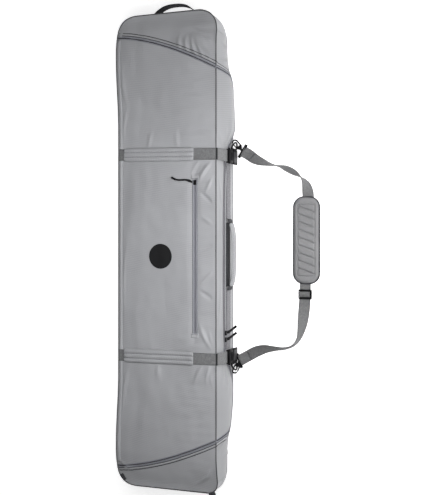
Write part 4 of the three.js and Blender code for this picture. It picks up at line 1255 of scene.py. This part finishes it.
def make_strap(end):
    """One compression strap: across the front with its padded sleeve, then down the wall to its buckle."""
    label = end.label
    y_seam = end.sign * end.strap
    grey, thread = MATERIALS["grey_webbing"], MATERIALS["dark_thread"]

    def centre_y(x):
        return y_seam + end.skew * (HALF_W - x) / (2 * HALF_W)

    def over_front(x0, x1, count, lift):
        return [(x, centre_y(x), DEPTH + 0.0012 + lift + (front_z(x, centre_y(x)) - DEPTH) * 0.9)
                for x in spread(x0, x1, count)]
    over = over_front(0.0025 - HALF_W, HALF_W - 0.002, 80, 0)
    line = [(lean(-HALF_W, y_seam) - 0.0030, centre_y(-HALF_W), DEPTH - 0.003), *over,
            (HALF_W + 0.0026, y_seam, DEPTH - 0.0012)]
    belt = sweep(f"{label}_front_webbing", line, band_section(STRAP_WIDTH, BELT), [grey])
    on_body(belt, "lid", "belt", f"{label}_strap_front")
    edges = [np.array([(x, y + k * (STRAP_WIDTH / 2 - 0.003), z + 0.0012) for x, y, z in over])
             for k in (-1, 1)]
    on_body(stitches(f"{label}_front_stitching", edges, thread, 0.005), "lid", "belt")
    s0, s1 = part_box(f"{label}_strap_sleeve")
    inner = over_front(s0.x + 0.001, s1.x - 0.001, 90, 0.0012)
    section = sleeve_section(SLEEVE_WIDTH, SLEEVE_THICK)
    sleeve = sweep(f"{label}_sleeve_pad", inner, section, [MATERIALS["shell_cloth"]],
                   grow=lambda t: min(1.0, 0.86 + 0.14 * min(t, 1 - t) * 60))
    on_body(sleeve, "lid", "shell", f"{label}_strap_sleeve")
    channels = [np.array([(x, y + k, z + 0.0044) for x, y, z in inner]) for k in (-0.0078, 0.0078)]
    on_body(stitches(f"{label}_sleeve_stitching", channels, thread, 0.0045), "lid", "shell")

    m0, m1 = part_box(f"{label}_buckle_male")
    top = Vector((HALF_W + 0.0034, y_seam, DEPTH - 0.0042))
    foot = Vector(((m0.x + m1.x) / 2 - 0.0018, y_seam, m1.z + 0.0016))
    slack = [tuple(top.lerp(foot, t) + Vector((0.0022 * math.sin(math.pi * t), 0, 0)))
             for t in spread(0, 1, 24)]
    side = sweep(f"{label}_side_strap", slack, band_section(STRAP_WIDTH, BELT), [grey], (1, 0, 0.2))
    on_body(side, "lid", "belt", f"{label}_strap_side")
    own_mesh(side)
    # Painted shadow: a black cord across the strap where it bends over the wall's top edge stands in for the
    # shadow there.
    half = 0.0190
    rim = [(HALF_W + 0.0040, y, DEPTH + 0.0006 - 0.0006 * abs((y - y_seam) / half) ** 6)
           for y in spread(y_seam - half, y_seam + half, 24)]
    rim_shadow_cord = sweep(f"{label}_strap_rim_cord", rim, disc(0.0024), [MATERIALS["braid"]])
    on_body(rim_shadow_cord, "lid", "piping")
    make_buckle(label, y_seam)


def pressed_panel(name, low, high, material, raise_by, bevel):
    """A raised panel on a buckle's outer face: a plate with an inset, rounded face."""
    low, high = Vector(low), Vector(high)
    size = high - low
    deselect()
    bpy.ops.mesh.primitive_cube_add(size=1, location=(low + high) / 2)
    piece = bpy.context.object
    piece.name = name
    piece.scale = size
    bpy.ops.object.transform_apply(location=True, rotation=True, scale=True)
    bpy.ops.object.mode_set(mode="EDIT")
    bpy.ops.mesh.select_all(action="DESELECT")
    made = bmesh.from_edit_mesh(piece.data)
    made.faces.ensure_lookup_table()
    for face in made.faces:
        face.select = face.normal.x > 0.9
    bmesh.update_edit_mesh(piece.data)
    bpy.ops.mesh.inset(thickness=min(size.y, size.z) * 0.16, depth=raise_by)
    bpy.ops.object.mode_set(mode="OBJECT")
    soften(piece, bevel, 3, 20)
    piece.data.materials.append(material)
    return piece


def make_buckle(label, y):
    """A side-release buckle with its pressed faces, its tension bar, and the webbing that anchors it."""
    black, charcoal = MATERIALS["black_acetal"], MATERIALS["charcoal_acetal"]
    for part, bevel in (("male", 0.0014), ("female", 0.0018), ("arm_a", 0.0009), ("arm_b", 0.0009)):
        worked(f"{label}_buckle_{part}", bevel, black)
    f0, f1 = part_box(f"{label}_buckle_female")
    m0, m1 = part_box(f"{label}_buckle_male")
    panel = pressed_panel(
        f"{label}_buckle_panel", (f1.x - 0.0008, y - 0.0175, f0.z + 0.007),
        (f1.x + 0.0006, y + 0.0175, f1.z - 0.009), charcoal, 0.0007, 0.0005)
    on_body(panel, "tray", "charcoal_plastic")
    for k, z in enumerate(spread(m0.z + 0.016, m0.z + 0.027, 3)):
        rib = pressed_panel(
            f"{label}_buckle_rib_{k + 1}", (m1.x - 0.0006, y - 0.014, z - 0.0012),
            (m1.x + 0.0007, y + 0.014, z + 0.0012), black, 0.0002, 0.0004)
        on_body(rib, f"{label}_buckle_male", "black_plastic")
    ladder = Vector((m1.x - 0.0006, y, m1.z - 0.0006))
    rings = ((0.0, 0.0026), (0.06, 0.0036), (0.94, 0.0036), (1.0, 0.0026))
    reach = Vector((0, 0.0265, 0))
    bar = barrel(f"{label}_tension_bar", ladder - reach, ladder + reach, rings, black)
    on_body(bar, f"{label}_buckle_male", "black_plastic")
    for side, rail_y in (("a", y - 0.0222), ("b", y + 0.0222)):
        rail = pressed_panel(
            f"{label}_buckle_rail_{side}", (f1.x - 0.0030, rail_y - 0.0030, f0.z + 0.003),
            (f1.x + 0.0014, rail_y + 0.0030, f1.z - 0.002), black, 0.0004, 0.0008)
        on_body(rail, "tray", "black_plastic")
    top_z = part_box(f"{label}_anchor_webbing")[1].z - 0.001
    line = [(wall_x(y, z) + 0.0024 + 0.004 * ease(0.008, 0.018, z), y, z) for z in spread(0.0015, top_z, 10)]
    grey = MATERIALS["grey_webbing"]
    anchor = sweep(f"{label}_anchor_belt", line, band_section(0.038, BELT), [grey], (1, 0, 0))
    on_body(anchor, "tray", "belt", f"{label}_anchor_webbing")


# ---- side webbing, handles, rings and hooks ---------------------------------------------------------
def wall_band(name, y0, y1, z0, z1, lift, material, thick=BELT, rows=7, columns_along=60):
    """Flat webbing sewn on the right wall."""
    def place(z, y):
        return (wall_x(y, z) + lift + thick, y, z), (z, y)
    sheet = grid_of(spread(z0, z1, rows), spread(y0, y1, columns_along), place)
    return cloth(name, *sheet, [material], thick)


def make_side_webbing():
    """The two long belts along the carrying side, and the tabs that hold the D-rings."""
    grey = MATERIALS["wall_webbing"]
    for label in ("upper", "lower"):
        low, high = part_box(f"side_webbing_{label}")
        piece = wall_band(f"side_belt_{label}", low.y, high.y, low.z, high.z, 0.0002, grey)
        on_body(piece, "tray", "belt", f"side_webbing_{label}")
        edges = [np.array([(wall_x(y, z) + 0.0028, y, z) for y in spread(low.y + 0.004, high.y - 0.004, 90)])
                 for z in (low.z + 0.003, high.z - 0.003)]
        seams = stitches(f"side_belt_stitching_{label}", edges, MATERIALS["dark_thread"], 0.005, (1, 0, 0))
        on_body(seams, "tray", "belt")
    for end in ENDS:
        low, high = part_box(f"{end.label}_ring_tab")
        tab = wall_band(
            f"{end.label}_ring_belt", low.y, high.y, low.z, high.z, 0.0002, grey, columns_along=16)
        on_body(tab, "tray", "belt", f"{end.label}_ring_tab")


def handle_arch(y0, y1, count):
    """The side handle's bow: how far out it stands at each place along it."""
    low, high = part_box("grab_handle_webbing")
    foot = low.x + 0.0012
    bow = high.x - low.x - 0.0024
    arch = []
    for y in spread(y0, y1, count):
        t = (y - low.y) / (high.y - low.y) * 2 - 1
        arch.append((foot + bow * (1 - t ** 4), y, (low.z + high.z) / 2))
    return arch


def rounded_bar(width, thick, steps=7, power=3.0):
    """A soft bar's section: side is its width and up its thickness."""
    points = []
    for a in spread(0, 2 * math.pi, 4 * steps + 1)[:-1]:
        c, s = math.cos(a), math.sin(a)
        points.append((math.copysign(abs(c) ** (2 / power), c) * width / 2,
                       math.copysign(abs(s) ** (2 / power), s) * thick / 2))
    return points[::-1]


def make_grab_handle():
    """The carrying handle: a dark strip on the wall behind it as painted shade, its webbing, its padded wrap and
    its tacks.
    """
    low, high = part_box("grab_handle_webbing")
    # Painted shade: dark webbing on the wall behind the handle stands in for the shadow in the gap under it.
    shade_strip = wall_band("handle_painted_shade_strip", low.y + 0.012, high.y - 0.012, low.z - 0.001, high.z + 0.006,
                        0.0003, MATERIALS["dark_webbing"], 0.0016)
    on_body(shade_strip, "tray", "dark_belt")
    core = sweep("grab_handle_belt", handle_arch(low.y, high.y, 50), band_section(0.0372, 0.0024),
                 [MATERIALS["dark_webbing"]], (1, 0, 0))
    on_body(core, "grab_handle", "dark_belt", "grab_handle_webbing")
    w0, w1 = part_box("grab_handle_wrap")
    arch = handle_arch(w0.y, w1.y, 70)
    side = MATERIALS["painted_shade_side_cloth"]
    wrap = sweep("grab_handle_pad", arch, rounded_bar(0.0385, 0.0086), [side], (1, 0, 0),
                 grow=lambda t: min(1.0, 0.90 + 0.10 * min(t, 1 - t) * 40))
    on_body(wrap, "grab_handle", "shell_light", "grab_handle_wrap")
    seams = [np.array([(x + 0.0038, y, z + k) for x, y, z in arch[2:-2]]) for k in (-0.0125, 0.0125)]
    on_body(stitches("grab_handle_stitching", seams, MATERIALS["dark_thread"], 0.0045, (1, 0, 0)),
            "grab_handle", "shell_light")
    for label, y in (("low", low.y + 0.006), ("high", high.y - 0.006)):
        levels = spread(low.z + 0.003, high.z - 0.003, 30)
        bars = [np.array([(wall_x(y, z) + 0.0050, y + k, z) for z in levels]) for k in (-0.003, 0.003)]
        tack = stitches(f"grab_handle_tack_{label}", bars, MATERIALS["grey_thread"], 0.0028, (1, 0, 0))
        on_body(tack, "grab_handle", "dark_belt")


def make_end_handle():
    """The top end's handle: a bow of webbing with a stuffed middle, sewn down at both feet."""
    low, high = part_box("end_handle")
    middle, half = (low.x + high.x) / 2, (high.x - low.x) / 2 - 0.001
    foot, reach = low.y + 0.0015, high.y - low.y - 0.003
    z = (low.z + high.z) / 2
    out = (0, 1, 0.001)
    arch = np.array([(middle + half * t, foot + reach * (1 - abs(t) ** 2.6), z) for t in spread(-1, 1, 70)])
    dark, thread = MATERIALS["dark_webbing"], MATERIALS["grey_thread"]
    belt = sweep("end_handle_belt", arch, band_section(0.0380, 0.0026), [dark], out)
    on_body(belt, "end_handle", "dark_belt", "end_handle")
    over = frames_along(arch, out)[2]
    stuffed = slice(14, -14)
    pad = sweep("end_handle_pad", arch[stuffed], rounded_bar(0.0330, 0.0066), [dark], out,
                grow=lambda t: min(1.0, 0.88 + 0.12 * min(t, 1 - t) * 30))
    on_body(pad, "end_handle", "dark_belt")
    lines = [arch[stuffed] + over[stuffed] * 0.0031 + np.array((0, 0, k)) for k in (-0.009, 0.009)]
    on_body(stitches("end_handle_stitching", lines, thread, 0.0045, out), "end_handle", "dark_belt")
    for label, x in (("left", low.x), ("right", high.x)):
        sheet = grid_of(spread(low.z, high.z, 5), spread(x - 0.014, x + 0.014, 8),
                        lambda pz, px: ((px, end_limit(px, 1) + 0.0052, pz), (pz, px)))
        patch = cloth(f"end_handle_patch_{label}", *sheet, [dark], 0.0018, flip=True)
        on_body(patch, "tray", "dark_belt")
        x0, x1, z0, z1 = x - 0.010, x + 0.010, low.z + 0.004, high.z - 0.004
        path = ((x0, z0), (x1, z0), (x1, z1), (x0, z1), (x0, z0), (x1, z1))
        line = np.array([(px, end_limit(px, 1) + 0.0054, pz) for px, pz in path])
        cross = stitches(f"end_handle_box_stitch_{label}", [line], thread, 0.0034, (0, 1, 0.01))
        on_body(cross, "tray", "dark_belt")


def make_corner_tabs():
    """The two small loops of webbing in the bottom end's corners."""
    loop = ((-0.0060, 0.0012), (0.0010, 0.0016), (0.0052, 0.0008), (0.0052, -0.0012), (0.0010, -0.0018),
            (-0.0060, -0.0014))
    for label, angle in (("left", -2.5), ("right", -1.1)):
        low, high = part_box(f"corner_tab_{label}")
        centre = (low + high) / 2
        out = Vector((math.cos(angle), math.sin(angle), 0))
        line = curve_through([tuple(centre + out * a + Vector((0, 0, b))) for a, b in loop], 5)
        across = out.cross(Vector((0, 0, 1)))
        ups = np.cross(np.tile(across, (len(line), 1)), np.gradient(line, axis=0))
        section = band_section(0.023, 0.0014)
        tab = sweep(f"corner_tab_{label}_belt", line, section, [MATERIALS["dark_webbing"]], ups)
        on_body(tab, "tray", "dark_belt", f"corner_tab_{label}")


RING_WIRE = 0.0029


def make_ring(end):
    """The D-ring's wire: its straight bar up the wall, its arc leaning out along the bag."""
    low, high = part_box(f"{end.label}_d_ring")
    radius, half, reach = RING_WIRE, 0.025, 0.022
    lean_out = math.radians(20)
    foot = Vector((low.x + radius, low.y + radius if end.sign > 0 else high.y - radius, (low.z + high.z) / 2))
    along = Vector((math.sin(lean_out), end.sign * math.cos(lean_out), 0))
    plan = [(0, 0), (0, half * 0.5), (0, half), (reach * 0.55, half * 0.86), (reach, half * 0.35),
            (reach, -half * 0.35), (reach * 0.55, -half * 0.86), (0, -half), (0, -half * 0.5)]
    ring = [foot + along * a + Vector((0, 0, b)) for a, b in plan]
    line = curve_through([tuple(p) for p in [*ring, ring[0]]], 8)[:-1]
    face = along.cross(Vector((0, 0, 1)))
    wire = tube_loop(f"{end.label}_d_ring_wire", line, radius, MATERIALS["black_zinc"], face)
    on_body(wire, f"{end.label}_d_ring", "black_metal", f"{end.label}_d_ring")


def tube_loop(name, line, radius, material, normal, sides=14):
    """A round wire along a closed line that lies in one plane."""
    line, normal = np.array(line, float), np.array(normal, float)
    side = np.cross(unit(np.roll(line, -1, axis=0) - np.roll(line, 1, axis=0)), normal)
    points = [place + radius * (side[k] * a + normal * b)
              for k, place in enumerate(line) for a, b in disc(1, sides)]
    return outward(new_piece(name, points, loop_faces(len(line), sides), materials=[material]))


def barrel(name, start, finish, rings, material):
    """A turned barrel: a cylinder cut across at its rings, each let out to its radius, with rounded rims."""
    length = (finish - start).length
    deselect()
    bpy.ops.mesh.primitive_cylinder_add(vertices=28, radius=1, depth=length)
    piece = bpy.context.object
    piece.name = name
    made = bmesh.new()
    made.from_mesh(piece.data)
    for share, _ in rings[1:-1]:
        bisect(made, (share - 0.5) * length)
    for vert in made.verts:
        share = vert.co.z / length + 0.5
        radius = min(rings, key=lambda ring: abs(ring[0] - share))[1]
        vert.co.x *= radius
        vert.co.y *= radius
    made.to_mesh(piece.data)
    made.free()
    soften(piece, 0.0005, 2, 25, 35)
    stand_between(piece, start, finish)
    piece.data.materials.append(material)
    return piece


def joint_of(name):
    return next(j for j in frame["joints"] if j["name"] == name)


def make_hook(end):
    """A snap hook with its gate, the barrel that it swivels on and the rivet that the gate turns on."""
    label = end.label
    zinc = MATERIALS["black_zinc"]
    worked(f"{label}_snap_hook", 0.0018, zinc, 4)
    worked(f"{label}_hook_gate", 0.0010, zinc)
    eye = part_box(f"{label}_strap_eye")
    at = (eye[0] + eye[1]) / 2
    axis = Vector(joint_of(f"{label}_hook_swivel")["axis"])
    collars = ((0.0, 0.0030), (0.12, 0.0046), (0.34, 0.0046), (0.42, 0.0034), (0.62, 0.0034), (0.70, 0.0044),
               (0.94, 0.0044), (1.0, 0.0032))
    swivel = barrel(f"{label}_hook_swivel_barrel", at - axis * 0.0185, at - axis * 0.0030, collars, zinc)
    on_body(swivel, f"{label}_hook", "black_metal")
    gate = joint_of(f"{label}_gate_open")
    reach, pin = Vector(gate["axis"]) * 0.0034, Vector(gate["pos_m"])
    rims = ((0.0, 0.0016), (0.10, 0.0019), (0.90, 0.0019), (1.0, 0.0016))
    rivet = barrel(f"{label}_gate_rivet", pin - reach, pin + reach, rims, zinc)
    on_body(rivet, f"{label}_hook", "black_metal")


def make_print(radius, rings=10, sides=56):
    """A plain round mark on the front."""
    x, y = -0.020, -0.018
    spots = [(x, y)]
    for k in range(1, rings + 1):
        for i in range(sides):
            a, r = 2 * math.pi * i / sides, radius * k / rings
            spots.append((x + r * math.cos(a), y + r * math.sin(a)))
    faces = [(0, 1 + i, 1 + (i + 1) % sides) for i in range(sides)]
    for k in range(rings - 1):
        for i in range(sides):
            a, b = 1 + k * sides + i, 1 + k * sides + (i + 1) % sides
            faces.append((a, a + sides, b + sides, b))
    points = [(px, py, front_z(px, py) + 0.0003) for px, py in spots]
    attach(new_piece("front_mark", points, faces, spots, [MATERIALS["print_ink"]]), "lid")


# ---- stage ------------------------------------------------------------------------------------------
FLOOR_SIZE = 14
FLOOR_DROP = 0.0006
LIGHT_TARGET = Vector((0.05, 0.0, 0.12))
SOFTBOXES = (  # name, place, width and length, power in watts
    ("right_softbox", (0.83, 0.12, 1.05), (0.5, 2.1), 24),
    ("top_softbox", (0.8, 0.1, 3.0), (2.0, 2.0), 16),
    ("far_softbox", (-1.6, 2.6, 2.4), (2.0, 2.0), 5),
)
CAMERA_TILT = math.radians(20)
CAMERA_AIM = Vector((0.183, 0.0115, DEPTH))
CAMERA_AWAY = 2.78
CAMERA_LENS = 61.5


def make_floor():
    """A pale floor that the bag lies on."""
    deselect()
    bpy.ops.mesh.primitive_plane_add(size=FLOOR_SIZE, location=(0, 0, -FLOOR_DROP))
    floor = bpy.context.object
    floor.name = "floor"
    pale = bpy.data.materials.new("pale_floor")
    pale.use_nodes = True
    shader = pale.node_tree.nodes["Principled BSDF"]
    for key, value in (("Base Color", (0.93, 0.93, 0.93, 1)), ("Roughness", 0.9),
                       ("Emission Color", (1, 1, 1, 1)), ("Emission Strength", 0.62)):
        shader.inputs[key].default_value = value
    floor.data.materials.append(pale)


def make_lights(scene):
    """A pale world and three soft boxes."""
    scene.world = bpy.data.worlds.new("studio")
    scene.world.use_nodes = True
    backdrop = scene.world.node_tree.nodes["Background"]
    backdrop.inputs["Color"].default_value = (1.0, 1.0, 1.0, 1)
    backdrop.inputs["Strength"].default_value = 0.15
    for name, place, size, power in SOFTBOXES:
        light = bpy.data.lights.new(name, "AREA")
        light.shape = "RECTANGLE"
        light.size, light.size_y = size
        light.energy = power
        lamp = bpy.data.objects.new(name, light)
        lamp.location = place
        lamp.visible_camera = False
        lamp.rotation_euler = (LIGHT_TARGET - Vector(place)).to_track_quat("-Z", "Y").to_euler()
        scene.collection.objects.link(lamp)


def make_camera(scene):
    """The camera, above the front and a little towards the carrying side."""
    lens = bpy.data.cameras.new("camera")
    lens.sensor_width = 36
    lens.lens = CAMERA_LENS
    camera = bpy.data.objects.new("camera", lens)
    camera.location = CAMERA_AIM + CAMERA_AWAY * Vector((math.sin(CAMERA_TILT), 0, math.cos(CAMERA_TILT)))
    camera.rotation_euler = (0, CAMERA_TILT, 0)
    scene.collection.objects.link(camera)
    scene.camera = camera


# ---- add-on -----------------------------------------------------------------------------------------
class BagSizes(bpy.types.PropertyGroup):
    shoulder_width: bpy.props.FloatProperty(
        name="Shoulder webbing", description="Width of the shoulder strap's webbing",
        default=0.038, min=0.02, max=0.05, unit="LENGTH")
    piping_radius: bpy.props.FloatProperty(
        name="Piping", description="Radius of the corded piping on the seams",
        default=0.0017, min=0.001, max=0.004, unit="LENGTH")
    quilt_pitch: bpy.props.FloatProperty(
        name="Quilting", description="Distance between the shoulder pad's sewn channels",
        default=0.026, min=0.012, max=0.06, unit="LENGTH")
    mark_radius: bpy.props.FloatProperty(
        name="Front mark", description="Radius of the plain round mark on the front",
        default=0.042, min=0.01, max=0.08, unit="LENGTH")


def colour(name, default, description):
    return bpy.props.FloatVectorProperty(
        name=name, description=description, default=default, min=0, max=1, subtype="COLOR")


class BagColours(bpy.types.PropertyGroup):
    shell: colour("Shell", (0.315, 0.319, 0.334), "Front and end cloth")
    # Painted shade: the shell's fabric again, set darker to offset the light that falls on the carrying side.
    side: colour("Side", (0.268, 0.271, 0.283), "Carrying side's cloth")
    lining: colour("Lining", (0.070, 0.072, 0.080), "Lining and base cloth")
    webbing: colour("Webbing", (0.200, 0.203, 0.208), "Compression and side webbing")
    wall: colour("Side webbing", (0.208, 0.205, 0.223), "Webbing and tape along the carrying side")
    strap: colour("Shoulder webbing", (0.180, 0.181, 0.184), "Shoulder strap's webbing")
    dark: colour("Dark webbing", (0.055, 0.056, 0.062), "Handles and tabs")
    piping: colour("Piping", (0.085, 0.086, 0.090), "Corded piping")
    tape: colour("Zipper tape", (0.262, 0.268, 0.296), "Zipper tapes")
    pad: colour("Pad", (0.218, 0.219, 0.225), "Shoulder pad and strap sleeves")
    thread: colour("Thread", (0.170, 0.172, 0.180), "Seam thread")


class BuildStage(bpy.types.Operator):
    """Sets the floor, the soft lights and the camera"""
    bl_idname = "bag.stage"
    bl_label = "Stage"

    def execute(self, context):
        context.scene.view_settings.view_transform = "Standard"
        make_floor()
        make_lights(context.scene)
        make_camera(context.scene)
        return {"FINISHED"}


class BuildFinishes(bpy.types.Operator):
    """Makes every cloth, webbing, moulding and metal finish"""
    bl_idname = "bag.finishes"
    bl_label = "Finishes"

    def execute(self, context):
        make_finishes(context.scene.bag_colours)
        return {"FINISHED"}


class BuildShoulderStrap(bpy.types.Operator):
    """Lays the shoulder strap with its pad, its adjuster and its hooks"""
    bl_idname = "bag.shoulder_strap"
    bl_label = "Shoulder Strap"

    def execute(self, context):
        sizes = context.scene.bag_sizes
        belt, middle, trims = make_shoulder_strap(sizes)
        pad_trims = make_shoulder_pad(sizes)
        fittings = make_glide_and_eyes()
        for end in ENDS:
            make_hook(end)
        tuple(middle[0])
        round(float(run_along(middle)[-1]), 3)
        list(trims)
        return {"FINISHED"}


class BuildTray(bpy.types.Operator):
    """Builds the still half: back, walls, ends and end caps"""
    bl_idname = "bag.tray"
    bl_label = "Tray"

    def execute(self, context):
        make_tray()
        return {"FINISHED"}


class BuildLid(bpy.types.Operator):
    """Builds the front, the strip above the zipper and the fold that it opens on"""
    bl_idname = "bag.lid"
    bl_label = "Lid"

    def execute(self, context):
        make_lid()
        make_hinge_fold()
        make_print(context.scene.bag_sizes.mark_radius)
        return {"FINISHED"}


class BuildPiping(bpy.types.Operator):
    """Runs the corded piping along the seams"""
    bl_idname = "bag.piping"
    bl_label = "Piping"

    def execute(self, context):
        make_piping(context.scene.bag_sizes.piping_radius)
        return {"FINISHED"}


class BuildZippers(bpy.types.Operator):
    """Builds the main zipper and the pocket zipper with their sliders and pulls"""
    bl_idname = "bag.zippers"
    bl_label = "Zippers"

    def execute(self, context):
        make_main_zipper()
        make_sliders()
        make_pocket()
        return {"FINISHED"}


class BuildStraps(bpy.types.Operator):
    """Builds the compression straps with their sleeves and buckles"""
    bl_idname = "bag.straps"
    bl_label = "Compression Straps"

    def execute(self, context):
        for end in ENDS:
            make_strap(end)
        return {"FINISHED"}


class BuildHandles(bpy.types.Operator):
    """Builds the side webbing, both handles, the tabs and the D-rings"""
    bl_idname = "bag.handles"
    bl_label = "Handles and Rings"

    def execute(self, context):
        make_side_webbing()
        make_grab_handle()
        make_end_handle()
        make_corner_tabs()
        for end in ENDS:
            make_ring(end)
        return {"FINISHED"}


STEPS = (BuildStage, BuildFinishes, BuildShoulderStrap, BuildTray, BuildLid, BuildPiping, BuildZippers,
         BuildStraps, BuildHandles)


class BagPanel(bpy.types.Panel):
    """Lists the bag's sizes, colours and build steps"""
    bl_idname = "VIEW3D_PT_bag"
    bl_label = "Snowboard Bag"
    bl_space_type = "VIEW_3D"
    bl_region_type = "UI"
    bl_category = "Bag"

    def draw(self, context):
        for group in (context.scene.bag_sizes, context.scene.bag_colours):
            for key in group.__annotations__:
                self.layout.prop(group, key)
        for step in STEPS:
            self.layout.operator(step.bl_idname)


CLASSES = (BagSizes, BagColours, *STEPS, BagPanel)


def register():
    for cls in CLASSES:
        bpy.utils.register_class(cls)
    bpy.types.Scene.bag_sizes = bpy.props.PointerProperty(type=BagSizes)
    bpy.types.Scene.bag_colours = bpy.props.PointerProperty(type=BagColours)


def unregister():
    del bpy.types.Scene.bag_colours
    del bpy.types.Scene.bag_sizes
    for cls in reversed(CLASSES):
        bpy.utils.unregister_class(cls)


def main():
    register()
    for step in STEPS:
        group, name = step.bl_idname.split(".")
        getattr(getattr(bpy.ops, group), name)()


if __name__ == "__main__":
    main()
